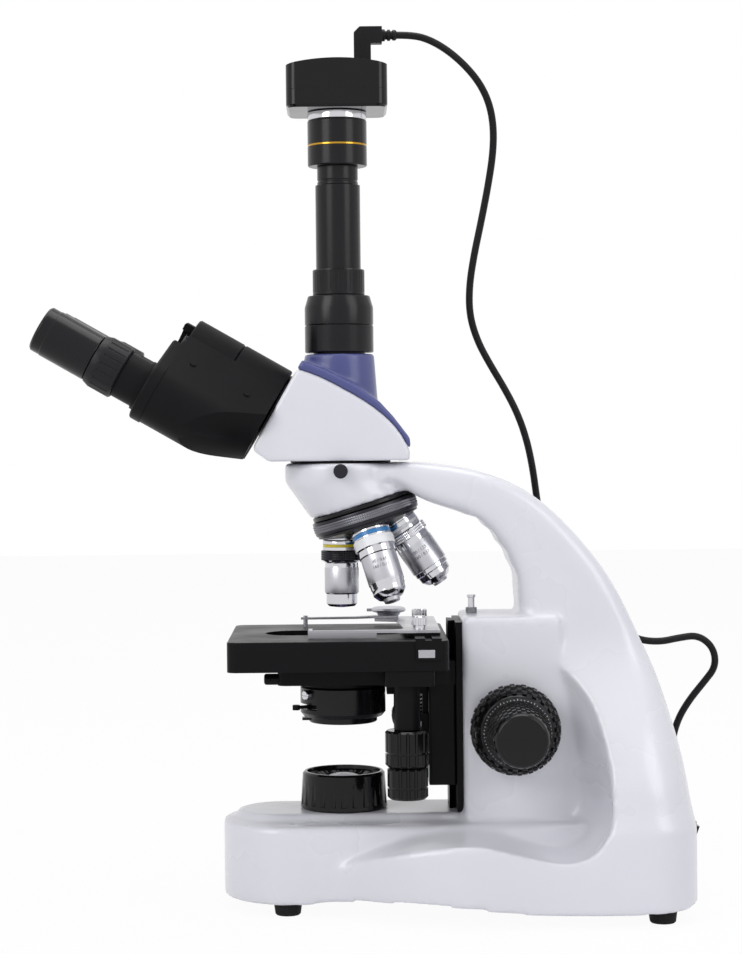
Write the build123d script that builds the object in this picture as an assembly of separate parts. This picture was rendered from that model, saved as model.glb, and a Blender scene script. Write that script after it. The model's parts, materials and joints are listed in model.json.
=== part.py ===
from build123d import *
import os
from math import asin, acos, atan2, ceil, cos, degrees, hypot, pi, radians, sin, sqrt, tan

# Trinocular laboratory microscope with a camera on its photo tube, in millimetres.
# +Z is up, -X is the user's side, +X is the arm's side and Y = 0 is the plane of symmetry.
# Pieces are drawn about the optical axis (X = 0) and moved at the end, so that the origin
# lies on the bench under the middle of the microscope.

# Fits
RUN = 0.05          # radial clearance of a turning fit
SLIDE = 0.1         # gap on each side of a sliding way
AIR = 0.3           # gap between pieces that pass each other

# Base and arm casting
BASE_FRONT = -72.0
BASE_REAR = 204.0
FRONT_HALF = 44.0
REAR_HALF = 80.0
REAR_CORNER = 32.0
FLARE_START = -10.0
FLARE_END = 80.0
BASE_TOP = 53.6
EDGE_FRONT = 8.0
EDGE_ARCH = 12.5
EDGE_BULGE = 6.5
EDGE_REAR = 9.0
RIM_ROUND = 4.0
PLATFORM_TOP = 58.0
PLATFORM_HALF = 28.0
PLATFORM_FRONT = -64.4
WALL = 4.0
HOLLOW_WIDENS = 30.0
ARM_HOLLOW = 152.0
CAVITY_TOP = 36.0
BLOCK_FRONT = 70.5
BLOCK_BACK = 128.0
BLOCK_HALF = 33.0
BLOCK_TOP = 173.5
BLOCK_WALL = 6.0
ARM_HALF = 27.0
HEAD_TOP = 264.4
HEAD_RADIUS = 33.3
HEAD_RIM = 11.4
SCALLOP_DEPTH = 1.8

# Feet, cover and power parts
COVER_HEIGHT = 14.0
COVER_THICK = 1.5
FOOT_FRONT = (-33.5, 30.0)
FOOT_BACK = (182.0, 63.0)
FOOT_RADIUS = 7.5
FOOT_FLARE = 1.4
FOOT_SCREW = 2.0
SWITCH_Y = -34.0
SWITCH_Z = 46.0
SWITCH_TALL = 15.0
SWITCH_WIDE = 10.5
JACK_Y = 34.0
JACK_BORE = 3.0
DIAL_X = 110.0
DIAL_Z = 26.0
DIAL_RADIUS = 11.0

# Lamp
LAMP_RADIUS = 26.0
LAMP_RIM = 24.0
LAMP_HEIGHT = 22.0
FIELD_LENS = 13.0
LAMP_WELL = 16.0

# Focusing
FOCUS_X = 100.0
FOCUS_Z = 109.0
GEAR_MODULE = 1.0
GEAR_TEETH = 14
BACKLASH = 0.3
STOP_X = 77.5
FINE_SHAFT = 2.5
COARSE_SHAFT = 4.5
COARSE_RADIUS = 26.3
COARSE_NEAR = 38.0
COARSE_FAR = 62.0
FINE_RADIUS = 18.6
FINE_FACE = 14.5
FINE_FAR = 98.0
RAIL_THICK = 3.8
RAIL_HALF = 26.0
WAY_ROOT = 9.0
WAY_TIP = 12.0
WAY_DEEP = 4.0
RACK_HALF = 4.4

# Stage
STAGE_TOP = 162.5
STAGE_FRONT = -66.6
STAGE_BACK = 61.4
STAGE_HALF = 62.5
STAGE_DEEP = 17.4
STAGE_PLATE = 4.0
STAGE_WALL = 3.0
STAGE_CORNER = 6.0
LIGHT_HALF = 17.0
BED_FRONT = -38.0
BED_HALF = 42.0
BED_THICK = 9.6
RIB_Y = 30.0
RIB_THICK = 4.0
COAX_X = 37.0
COAX_Y = -50.0
COAX_SHAFT = 2.0
COAX_SLEEVE = 4.0
UPPER_KNOB = 12.9
LOWER_KNOB = 11.8
COAX_TUBE_LOW = 110.4
FINGER_PIVOT = (28.8, 49.5)

# Condenser
DRUM_RADIUS = 25.5
DRUM_LOW = 113.0
DRUM_HIGH = 131.3
BARREL_RADIUS = 18.9
CONDENSER_TOP = 153.0
CONDENSER_KNOB_X = 43.0
CONDENSER_KNOB_Z = 109.5
CONDENSER_MODULE = 0.7
CONDENSER_TEETH = 10
IRIS_Z = 119.5
FILTER_PIVOT = (-6.5, 20.5)

# Nosepiece and objectives
NOSE_TILT = 17.0
NOSE_APEX = 280.5
SHOULDER = 62.0
MOUNT_FACE = 42.5
MOUNT_RADIUS = 31.5
TURRET_TOP = 45.3
TURRET_RADIUS = 32.0
TURRET_RIM = 8.7
THREAD_RADIUS = 10.0

# Head
HEAD_TILT = 30.0
HEAD_HALF = 31.0
HEAD_GAP = 1.3
HEAD_FACE = -2.15
HINGE_X = -39.6
HINGE_Z = 299.3
DRUM_HEAD = 23.0
DRUM_SPLIT = 32.0
BOX_LENGTH = 70.0
BOX_COLLAR = 7.0
CORNER_CUT = 39.2
BOX_WALL = 3.0
CLOSE_ROOM = 17.0
TUBE_SIDE = 32.0
TUBE_DROP = 27.5
TUBE_BOX = 19.5
PIN_RADIUS = 8.0
CAP_RADIUS = 13.0
EYE_BORE = 11.65
EYE_TUBE = 14.3
EYEPIECE = 14.45
DIOPTER = 16.2
TUBE_OUT = 85.3
EYEPIECE_END = 140.5

# Photo tube and camera
COVER_TOP = 329.4
PORT_RADIUS = 20.55
CAMERA_LOW = 474.5
CAMERA_HIGH = 503.3
CAMERA_HALF = 30.0
SEAM = 485.3
CONNECTOR_X = 15.7
PLUG_SEAT = 503.1
CABLE_Z = 520.5

# Cable
CABLE_RADIUS = 2.2
COIL_CENTRE = (150.0, 141.0)
COIL_MEAN = 24.5
COIL_HALF = 5.0
COIL_HIGH = 11.0
LEAD_OUT = 24.0

BENCH = 0.0
ORIGIN_X = 13.0


def turned(*profile):
    """A solid of revolution about Z, from (radius, height) points."""
    return revolve(Plane.XZ * make_face(Polyline(*profile, close=True)), Axis.Z)


def ring(inner, outer, low, high, edge=0.0):
    """A washer about Z whose outer edges are chamfered."""
    if edge == 0.0:
        return turned((inner, low), (outer, low), (outer, high), (inner, high))
    return turned((inner, low), (outer - edge, low), (outer, low + edge), (outer, high - edge),
                  (outer - edge, high), (inner, high))


def block(x0, x1, y0, y1, z0, z1):
    """A plain block between two corners."""
    return Pos((x0 + x1) / 2, (y0 + y1) / 2, (z0 + z1) / 2) * Box(x1 - x0, y1 - y0, z1 - z0)


def drilled(radius, x, y, z0, z1):
    """A vertical round cutter or peg."""
    return Pos(x, y, (z0 + z1) / 2) * Cylinder(radius, z1 - z0)


def across(radius, x, z, y0, y1):
    """A round cutter or peg along Y."""
    return Pos(x, (y0 + y1) / 2, z) * Rot(90, 0, 0) * Cylinder(radius, y1 - y0)


def plan(*points):
    """A flat face in the XY plane."""
    return make_face(Polyline(*points, close=True))


def side_view(*points):
    """A flat face in the XZ plane."""
    return Plane.XZ * make_face(Polyline(*points, close=True))


def both_sides(shape):
    """A piece and its mirror image across the plane of symmetry."""
    return shape + mirror(shape, about=Plane.XZ)


def fluted(shape, count, radius, at, low, high):
    """Cuts round flutes along Z around a turned grip."""
    cutter = Pos(0, 0, (low + high) / 2) * Cylinder(radius, high - low)
    return shape - [Rot(0, 0, 360 * i / count) * Pos(at, 0, 0) * cutter for i in range(count)]


def gear(module, teeth, thick, start=0.0):
    """A spur pinion with straight-sided teeth; the middle of a tooth points along start."""
    pitch = module * teeth / 2
    tip = pitch + 0.8 * module
    root = pitch - 1.1 * module
    half = (pi * module / 2 - BACKLASH) / 2
    tip_half = (half - 0.8 * module * tan(radians(20))) / tip
    root_half = (half + 0.3 * module) / root
    points = []
    for i in range(teeth):
        middle = radians(start) + 2 * pi * i / teeth
        for radius, turn in ((root, -root_half), (tip, -tip_half), (tip, tip_half), (root, root_half)):
            points.append((radius * cos(middle + turn), radius * sin(middle + turn)))
    return extrude(plan(*points), thick)


def rack(module, low, high, depth, mesh_at):
    """A rack in the XY plane along Y; its pitch line is X = 0, its teeth point along +X."""
    pitch = pi * module
    half = (pi * module / 2 - BACKLASH) / 2
    slope = tan(radians(20))
    tip_x = 0.8 * module
    root_x = -1.1 * module
    first = ceil((low - mesh_at) / pitch - 0.5 + 1)
    points = [(-depth, low), (root_x, low)]
    centre = mesh_at + (first - 0.5) * pitch
    while centre + pitch / 2 < high:
        tip_half = half - tip_x * slope
        root_half = half - root_x * slope
        points += [(root_x, centre - root_half), (tip_x, centre - tip_half),
                   (tip_x, centre + tip_half), (root_x, centre + root_half)]
        centre += pitch
    points += [(root_x, high), (-depth, high)]
    return plan(*points)


# Base and arm


def base_outline(inset):
    """The base in plan: a round nose that flares to the wide rear."""
    side = FRONT_HALF - inset
    wide = REAR_HALF - inset
    rear = BASE_REAR - inset
    corner = REAR_CORNER - inset
    nose = BASE_FRONT + FRONT_HALF
    middle = FLARE_START + (FLARE_END - FLARE_START) / 3
    half = Curve() + [
        CenterArc((nose, 0), side, 90, 90),
        Line((nose, side), (FLARE_START, side)),
        Spline((FLARE_START, side), (middle, side + 0.45 * (wide - side)), (FLARE_END, wide),
               tangents=[(1, 0.2), (1, 0)]),
        Line((FLARE_END, wide), (rear - corner, wide)),
        CenterArc((rear - corner, wide - corner), corner, 0, 90),
        Line((rear, wide - corner), (rear, 0)),
    ]
    return make_face(half + mirror(half, about=Plane.XZ))


def base_band():
    """The base in side view, with its wavy lower edge."""
    lower = Spline((BASE_FRONT - 4, EDGE_FRONT), (0, EDGE_FRONT + 1.5), (50, EDGE_ARCH),
                   (95, EDGE_FRONT + 0.5), (133, EDGE_BULGE), (BASE_REAR + 4, EDGE_REAR))
    top = Polyline((BASE_REAR + 4, EDGE_REAR), (BASE_REAR + 4, BASE_TOP),
                   (BASE_FRONT - 4, BASE_TOP), (BASE_FRONT - 4, EDGE_FRONT))
    return extrude(Plane.XZ * make_face(lower + top), 2 * REAR_HALF, both=True)


def arm_section(inner, outer, half, corner):
    """One rounded section of the arm, from its inner to its outer edge."""
    middle = ((inner[0] + outer[0]) / 2, 0, (inner[1] + outer[1]) / 2)
    along = Vector(outer[0] - inner[0], 0, outer[1] - inner[1])
    place = Plane(origin=middle, x_dir=along, z_dir=along.cross(Vector(0, 1, 0)))
    return place * RectangleRounded(along.length, 2 * half, corner)


def arm():
    """The curved arm, from the wide rear of the base up to the head."""
    slim = ARM_HALF
    sections = [
        arm_section((95, BASE_TOP), (BASE_REAR, BASE_TOP), REAR_HALF, REAR_CORNER),
        arm_section((95, 76.6), (199.6, 76.6), REAR_HALF - 5, 31),
        arm_section((96, 94), (196.7, 94), REAR_HALF - 12, 29),
        arm_section((97, 108), (193.5, 108), REAR_HALF - 20, 26),
        arm_section((98, 122.7), (189.6, 122.7), REAR_HALF - 30, 22),
        arm_section((100, 138), (184, 141), slim + 11, 17),
        arm_section((102.5, 152), (177.6, 156), slim + 4, 13),
        arm_section((104.5, 170), (168.3, 176.5), slim + 1.5, 11),
        arm_section((103.6, 187), (157.3, 196.8), slim + 1, 10),
        arm_section((98.9, 204.7), (137.6, 222.2), slim + 0.5, 9.5),
        arm_section((84.7, 225.8), (107.5, 248.2), slim, 9),
        arm_section((68, 235.5), (78.8, 259.5), slim - 0.5, 8),
        arm_section((43.3, 245.4), (46.8, 264.4), slim - 0.5, 7.5),
        arm_section((20, 246.5), (21, HEAD_TOP), slim - 0.5, 7),
    ]
    return loft(sections) - block(-50, 90, -60, 60, HEAD_TOP, HEAD_TOP + 40)


def pocket():
    """The hollow beside the focusing block: its rim is the crease of the wide spine."""
    rim = Spline((134, 170), (134.5, 154), (141, 140), (147.4, 108), (150.7, 76.6), (149, 55),
                 (137, 41), (112.8, 39.8), (76.6, 48), (54.7, 47), (39.7, 44.5), (4, 32),
                 (BASE_FRONT, EDGE_FRONT - 6))
    close = Polyline((BASE_FRONT, EDGE_FRONT - 6), (BASE_FRONT - 20, EDGE_FRONT - 6),
                     (BASE_FRONT - 20, 190), (134, 190), (134, 170))
    rim_face = make_face(rim + close)
    slices = []
    for y, share in ((BLOCK_HALF, 0.86), (BLOCK_HALF + 9, 0.945), (REAR_HALF + 8, 1.0)):
        scaled = Pos(60 * (1 - share), 120 * (1 - share), 0) * scale(rim_face, share)
        slices.append(Plane(origin=(0, -y, 0), x_dir=(1, 0, 0), z_dir=(0, -1, 0)) * scaled)
    return both_sides(loft(slices))


def tongue():
    """The narrow front of the base with its raised platform."""
    nose = BASE_FRONT + FRONT_HALF
    tip = PLATFORM_FRONT + PLATFORM_HALF
    low = Curve() + [
        CenterArc((nose, 0), FRONT_HALF, 90, 180),
        Polyline((nose, -FRONT_HALF), (BLOCK_BACK + 20, -FRONT_HALF),
                 (BLOCK_BACK + 20, FRONT_HALF), (nose, FRONT_HALF)),
    ]
    body = extrude(make_face(low), BASE_TOP)
    body = fillet(body.edges().group_by(Axis.Z)[-1], RIM_ROUND) & base_band()
    high = Curve() + [
        CenterArc((tip, 0), PLATFORM_HALF, 90, 180),
        Polyline((tip, -PLATFORM_HALF), (BLOCK_FRONT + 10, -PLATFORM_HALF),
                 (BLOCK_FRONT + 10, PLATFORM_HALF), (tip, PLATFORM_HALF)),
    ]
    step = extrude(Pos(0, 0, BASE_TOP - 2) * make_face(high), PLATFORM_TOP - BASE_TOP + 2)
    step = fillet(step.edges().group_by(Axis.Z)[-1], 2.5)
    return body + step


def focus_block():
    """The upright block that holds the focusing gears."""
    body = block(BLOCK_FRONT, BLOCK_BACK, -BLOCK_HALF, BLOCK_HALF, BASE_TOP - 8, BLOCK_TOP)
    body = fillet(body.edges().filter_by(Axis.Z).group_by(Axis.X)[0], 4)
    body = fillet(body.edges().group_by(Axis.Z)[-1], 2)
    inner = block(BLOCK_FRONT + 30, BLOCK_BACK + 12, -BLOCK_HALF, BLOCK_HALF, BASE_TOP - 8, 140)
    return body + inner


def scallops():
    """Round cutters for the four finger hollows under the arm."""
    ridges = [(76.2, 232.4), (84.9, 225.8), (92.4, 216.4), (99.1, 204.7), (103.6, 190.5)]
    cutters = []
    for (x0, z0), (x1, z1) in zip(ridges, ridges[1:]):
        chord = hypot(x1 - x0, z1 - z0)
        radius = (chord ** 2 / 4 + SCALLOP_DEPTH ** 2) / (2 * SCALLOP_DEPTH)
        away = radius - SCALLOP_DEPTH
        out_x = (z1 - z0) / chord * away
        out_z = -(x1 - x0) / chord * away
        cutters.append(across(radius, (x0 + x1) / 2 + out_x, (z0 + z1) / 2 + out_z,
                              -ARM_HALF - 5, ARM_HALF + 5))
    return cutters


def nose_plane(distance):
    """The plane across the nosepiece's axis at a distance below its apex."""
    lean = radians(NOSE_TILT)
    axis = Vector(sin(lean), 0, -cos(lean))
    return Plane(origin=Vector(0, 0, NOSE_APEX) + axis * distance, x_dir=(cos(lean), 0, sin(lean)),
                 z_dir=axis)


def arm_head():
    """The round end of the arm: a seat for the head above, a leaning cone below."""
    rim = ring(0, HEAD_RADIUS, HEAD_TOP - HEAD_RIM, HEAD_TOP, 0)
    rim = fillet(rim.edges().group_by(Axis.Z)[-1], 1.2)
    cone = loft([Pos(0, 0, HEAD_TOP - HEAD_RIM) * Circle(HEAD_RADIUS),
                 nose_plane(MOUNT_FACE) * Circle(MOUNT_RADIUS)])
    return rim + cone


def dovetail_seat(gap):
    """The round dovetail between arm and head; gap widens it for the arm's seat."""
    return turned((0, HEAD_TOP - 6.5 - gap), (22 + gap, HEAD_TOP - 6.5 - gap),
                  (20 + gap, HEAD_TOP + 0.2), (0, HEAD_TOP + 0.2))


def stand_casting():
    base = extrude(base_outline(0), BASE_TOP) & base_band()
    body = base + arm() - pocket()
    body = body + tongue() + focus_block() + arm_head()
    body -= scallops()
    body -= nose_plane(MOUNT_FACE) * ring(0, MOUNT_RADIUS + 1.2, 0, 14)
    hollow = extrude(Pos(0, 0, BENCH) * base_outline(WALL), CAVITY_TOP)
    hollow -= both_sides(block(BASE_FRONT, HOLLOW_WIDENS, FRONT_HALF - WALL, REAR_HALF + 1,
                               COVER_HEIGHT + COVER_THICK + AIR, CAVITY_TOP + 1))
    posts = [drilled(6.5, x, y, COVER_HEIGHT + COVER_THICK, CAVITY_TOP)
             for x, y in foot_places()]
    body -= hollow - posts
    body -= block(BLOCK_FRONT + BLOCK_WALL, 150, -BLOCK_HALF + 7, BLOCK_HALF - 7, CAVITY_TOP - 4,
                  BLOCK_TOP - 14)
    body -= block(ARM_HOLLOW, 188, -45, 45, CAVITY_TOP - 4, 100)
    # lamp well, rack slot and the light's way through the arm
    body -= drilled(LAMP_WELL, 0, 0, CAVITY_TOP - 4, PLATFORM_TOP + 1)
    body -= block(BLOCK_FRONT - 1, BLOCK_FRONT + BLOCK_WALL + 1, -RACK_HALF - 1, RACK_HALF + 1, 74, 146)
    body -= dovetail_seat(AIR / 2)
    body -= drilled(11, 0, 0, 210, HEAD_TOP)
    # bores for the focusing bushes, the screws, the dial and the sockets
    body -= across(COARSE_SHAFT + 3.5, FOCUS_X, FOCUS_Z, -BLOCK_HALF - 1, BLOCK_HALF + 1)
    body -= across(2 + RUN, 0, HEAD_TOP - 4.5, -HEAD_RADIUS - 1, -20)
    body -= drilled(2 + RUN, STOP_X, 0, BLOCK_TOP - 15, BLOCK_TOP + 1)
    body -= across(3 + RUN, DIAL_X, DIAL_Z, REAR_HALF - WALL - 1, REAR_HALF + 1)
    body -= block(BASE_REAR - 20, BASE_REAR + 2, SWITCH_Y - 4.5, SWITCH_Y + 4.5, SWITCH_Z - 6.5,
                  SWITCH_Z + 6.5)
    body -= Pos(BASE_REAR - 9, JACK_Y, SWITCH_Z) * Rot(0, 90, 0) * Cylinder(5, 22)
    for x, y in foot_places():
        body -= drilled(FOOT_SCREW, x, y, BENCH, CAVITY_TOP - 6)
    return body


def foot_places():
    return [(x, side * y) for x, y in (FOOT_FRONT, FOOT_BACK) for side in (-1, 1)]


def bottom_cover():
    plate = Pos(0, 0, COVER_HEIGHT) * extrude(base_outline(WALL + AIR), COVER_THICK)
    for x, y in foot_places():
        plate -= drilled(FOOT_SCREW, x, y, 0, 30)
    slots = [Pos(60 + 9 * i, 0, COVER_HEIGHT) * Box(3, 40, 10) for i in range(6)]
    return plate - slots


def rubber_feet():
    wide = FOOT_RADIUS + FOOT_FLARE
    foot = turned((FOOT_SCREW, 6), (3.8, 6), (3.8, 0), (FOOT_RADIUS - 0.8, 0), (FOOT_RADIUS, 0.8),
                  (wide, COVER_HEIGHT - 3), (wide, COVER_HEIGHT), (FOOT_SCREW, COVER_HEIGHT))
    screw = turned((0, 3), (3.6, 3), (3.6, 6), (FOOT_SCREW, 6), (FOOT_SCREW, 26), (0, 26))
    screw -= Pos(0, 0, 3) * Box(0.9, 6, 1.6)
    return Compound([Pos(x, y, BENCH) * piece for x, y in foot_places() for piece in (foot, screw)])


# Lamp and power parts


def collector_ring():
    top = PLATFORM_TOP + LAMP_HEIGHT
    body = turned((LAMP_WELL - 3, PLATFORM_TOP - 6), (LAMP_WELL - 0.02, PLATFORM_TOP - 6),
                  (LAMP_WELL - 0.02, PLATFORM_TOP), (LAMP_RADIUS - 1, PLATFORM_TOP),
                  (LAMP_RADIUS, PLATFORM_TOP + 1), (LAMP_RIM + 0.6, top - 1.2), (LAMP_RIM - 0.6, top),
                  (LAMP_RIM - 2, top), (LAMP_RIM - 2.4, top - 2.2), (FIELD_LENS + 1.2, top - 5.5),
                  (FIELD_LENS, top - 5.5), (FIELD_LENS, top - 10), (FIELD_LENS - 1.5, top - 10),
                  (FIELD_LENS - 1.5, top - 14), (LAMP_WELL - 3, top - 16))
    return fluted(body, 24, 2.2, LAMP_RADIUS + 1.1, PLATFORM_TOP + 3, top - 4)


def field_lens():
    """A glass disc with a shallow dome, held in the collector ring."""
    low = PLATFORM_TOP + LAMP_HEIGHT - 10
    dome = 3.6
    edge = FIELD_LENS - RUN
    radius = (edge ** 2 + dome ** 2) / (2 * dome)
    ball = Pos(0, 0, low + 5 + dome - radius) * Sphere(radius)
    return drilled(edge, 0, 0, low, low + 5 + dome) & ball


def lamp_unit():
    """The cup under the collector ring, with the lamp's board and its lens."""
    low = CAVITY_TOP - 2
    cup = turned((9, low), (LAMP_WELL - 0.02, low), (LAMP_WELL - 0.02, PLATFORM_TOP - 6),
                 (LAMP_WELL - 2, PLATFORM_TOP - 6), (LAMP_WELL - 2, low + 5), (9, low + 5))
    board = drilled(LAMP_WELL - 2.1, 0, 0, low + 5, low + 6.6)
    chip = block(-3.5, 3.5, -3.5, 3.5, low + 6.6, low + 7.6)
    dome = Pos(0, 0, low + 7.6) * Sphere(2.8, arc_size1=0)
    return Compound([cup, board + chip + dome])


def power_board():
    low = COVER_HEIGHT + COVER_THICK
    board = block(30, 95, -30, 30, low + 5, low + 6.6)
    legs = [drilled(2.5, x, y, low, low + 5) for x in (34, 91) for y in (-26, 26)]
    parts = block(38, 54, -22, -6, low + 6.6, low + 16) + block(64, 82, 4, 20, low + 6.6, low + 13)
    parts += drilled(4, 46, 10, low + 6.6, low + 17) + drilled(4, 58, 14, low + 6.6, low + 17)
    return Compound([board + legs + parts, brightness_control()])


def rear_sockets():
    """The frame of the power rocker, clipped into the rear wall, and the socket beside it."""
    face = BASE_REAR + 1.5
    frame = block(BASE_REAR, face, SWITCH_Y - SWITCH_WIDE / 2, SWITCH_Y + SWITCH_WIDE / 2,
                  SWITCH_Z - SWITCH_TALL / 2, SWITCH_Z + SWITCH_TALL / 2)
    frame = fillet(frame.edges().filter_by(Axis.X), 1.2)
    box = block(BASE_REAR - 13, BASE_REAR, SWITCH_Y - 4.45, SWITCH_Y + 4.45, SWITCH_Z - 6.45,
                SWITCH_Z + 6.45)
    room = block(BASE_REAR - 9, face + 1, SWITCH_Y - 3.6, SWITCH_Y + 3.6, SWITCH_Z - 5.7,
                 SWITCH_Z + 5.7)
    pin = across(0.8 + RUN, BASE_REAR - 1, SWITCH_Z, SWITCH_Y - 4.3, SWITCH_Y + 4.3)
    return Compound([frame + box - room - pin, power_inlet()])


def switch_rocker():
    """The rocker: its upper half stands proud and its lower half is pressed in."""
    pivot = (BASE_REAR - 1, SWITCH_Z)
    face = side_view((pivot[0] - 2.5, pivot[1] + 1.5), (pivot[0] - 2.5, pivot[1] - 1.5),
                     (pivot[0] + 0.2, pivot[1] - 4.9), (pivot[0] + 2.3, pivot[1] - 4.9),
                     (pivot[0] + 3.0, pivot[1]), (pivot[0] + 4.6, pivot[1] + 4.2),
                     (pivot[0] + 0.6, pivot[1] + 4.9))
    half = SWITCH_WIDE / 2 - 1.65 - AIR / 2
    pin = across(0.8, pivot[0], pivot[1], -4.2, 4.2)
    return Pos(0, SWITCH_Y, 0) * (extrude(face, half, both=True) + pin)


def power_inlet():
    """A low-voltage barrel socket in the rear wall."""
    lie = Pos(BASE_REAR, JACK_Y, SWITCH_Z) * Rot(0, 90, 0)
    shell = turned((JACK_BORE, -10), (4.98, -10), (4.98, 0), (6.4, 0), (6.4, 1.0), (5.6, 1.6),
                   (JACK_BORE, 1.6))
    back = ring(0, 4.98, -12, -10)
    pin = drilled(1.0, 0, 0, -10, -1)
    return lie * (shell + back + pin)


def brightness_dial():
    lie = Plane(origin=(DIAL_X, REAR_HALF, DIAL_Z), x_dir=(1, 0, 0), z_dir=(0, 1, 0))
    knob = ring(0, DIAL_RADIUS, AIR, 10, 1.0)
    knob = fluted(knob, 20, 1.2, DIAL_RADIUS + 0.5, 2, 11)
    return lie * (knob + drilled(3, 0, 0, -WALL - 6, AIR))


def brightness_control():
    """The potentiometer behind the dial, against the inside of the wall."""
    inside = REAR_HALF - WALL
    body = across(8, DIAL_X, DIAL_Z, inside - 9, inside)
    return body - across(3 + RUN, DIAL_X, DIAL_Z, inside - 7, inside)


# Focusing


def guide_rail():
    front = BLOCK_FRONT - RAIL_THICK
    plate = block(front, BLOCK_FRONT, -RAIL_HALF, RAIL_HALF, PLATFORM_TOP + 0.2, BLOCK_TOP - 3.5)
    way = plan((front, -WAY_ROOT), (front, WAY_ROOT), (front - WAY_DEEP, WAY_TIP),
               (front - WAY_DEEP, -WAY_TIP))
    way = Pos(0, 0, PLATFORM_TOP + 0.2) * extrude(way, BLOCK_TOP - 3.5 - PLATFORM_TOP - 0.2)
    slot = block(front - WAY_DEEP - 1, BLOCK_FRONT + 1, -RACK_HALF - 1, RACK_HALF + 1, 74, 146)
    return plate + way - slot


def focus_bushes():
    bush = turned((COARSE_SHAFT + RUN, 0), (COARSE_SHAFT + 6, 0), (COARSE_SHAFT + 6, -1.5),
                  (COARSE_SHAFT + 3.48, -1.5), (COARSE_SHAFT + 3.48, -8), (COARSE_SHAFT + RUN, -8))
    stud = ring(0, 2, BLOCK_TOP - 12, BLOCK_TOP + 10) + ring(0, 2.6, BLOCK_TOP + 9.4, BLOCK_TOP + 11)
    bushes = [focus_axis(side, BLOCK_HALF + 1.5) * bush for side in (-1, 1)]
    return Compound([*bushes, Pos(STOP_X, 0, 0) * stud])


def focus_axis(side, distance):
    """A place on the focusing axis, looking outwards on one side."""
    return Plane(origin=(FOCUS_X, side * distance, FOCUS_Z), x_dir=(1, 0, 0), z_dir=(0, side, 0))


def coarse_shaft():
    """A tube through the block with the pinion at its middle."""
    tube = focus_axis(1, 0) * ring(FINE_SHAFT + RUN, COARSE_SHAFT, -COARSE_FAR + 2, COARSE_FAR - 2)
    pinion = focus_axis(1, 0) * Pos(0, 0, -RACK_HALF) * gear(GEAR_MODULE, GEAR_TEETH, 2 * RACK_HALF, 180)
    shape = tube + pinion
    return shape - across(FINE_SHAFT + RUN, FOCUS_X, FOCUS_Z, -COARSE_FAR, COARSE_FAR)


def coarse_knob(side):
    """The large knob with two rows of grip blocks and a hollow for the fine knob."""
    deep = COARSE_FAR - COARSE_NEAR
    body = turned((COARSE_SHAFT, 0), (COARSE_RADIUS - 3, 0), (COARSE_RADIUS - 1, 1.5),
                  (COARSE_RADIUS, 3), (COARSE_RADIUS, deep - 4), (COARSE_RADIUS - 2.5, deep),
                  (FINE_RADIUS + 2, deep), (FINE_RADIUS + 2, deep - 2), (COARSE_SHAFT, deep - 2))
    count = 20
    slot = Box(2.4, 2.2, 6.0)
    for row in (0, 1):
        turn = 180 / count * row
        height = 6.5 + 8.2 * row
        body -= [Rot(0, 0, 360 * i / count + turn) * Pos(COARSE_RADIUS, 0, height) * slot
                 for i in range(count)]
    groove = ring(COARSE_RADIUS - 1.2, COARSE_RADIUS + 1, 10.0, 11.2)
    return focus_axis(side, COARSE_NEAR) * (body - groove)


def coarse_knobs():
    return Compound([coarse_knob(-1), coarse_shaft(), coarse_knob(1)])


def scale_rings():
    """The graduated ring between the two knobs, carried by the coarse one."""
    body = turned((COARSE_SHAFT + 2, 0), (FINE_RADIUS + 1.98, 0), (FINE_RADIUS + 1.98, 2),
                  (FINE_RADIUS + 0.4, 4.6), (COARSE_SHAFT + 2, 4.6))
    return Compound([focus_axis(side, COARSE_FAR - 2) * body for side in (-1, 1)])


def fine_knob(side):
    """The fine knob, which narrows towards its flat face."""
    low = COARSE_FAR + 3
    deep = FINE_FAR - low
    body = turned((0, 0), (FINE_RADIUS, 0), (FINE_RADIUS, 9), (FINE_RADIUS - 0.8, 16),
                  (FINE_FACE + 1.4, deep - 2.5), (FINE_FACE, deep - 0.6), (FINE_FACE - 0.8, deep),
                  (0, deep))
    count = 16
    slot = Box(2.0, 2.0, 5.0)
    for row in (0, 1, 2):
        turn = 180 / count * (row % 2)
        at = FINE_RADIUS - 0.9 * row
        body -= [Rot(0, 0, 360 * i / count + turn) * Pos(at, 0, 5 + 7.2 * row) * slot
                 for i in range(count)]
    return focus_axis(side, low) * body


def fine_knobs():
    shaft = across(FINE_SHAFT, FOCUS_X, FOCUS_Z, -FINE_FAR + 4, FINE_FAR - 4)
    return fine_knob(-1) + shaft + fine_knob(1)


def tension_collar():
    """The thin collar between block and coarse knob that sets its drag."""
    body = ring(COARSE_SHAFT + 6 + AIR, 18, AIR, COARSE_NEAR - BLOCK_HALF - AIR, 0.6)
    return focus_axis(-1, BLOCK_HALF) * fluted(body, 12, 1.5, 18.6, 0, 6)


# Stage


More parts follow.
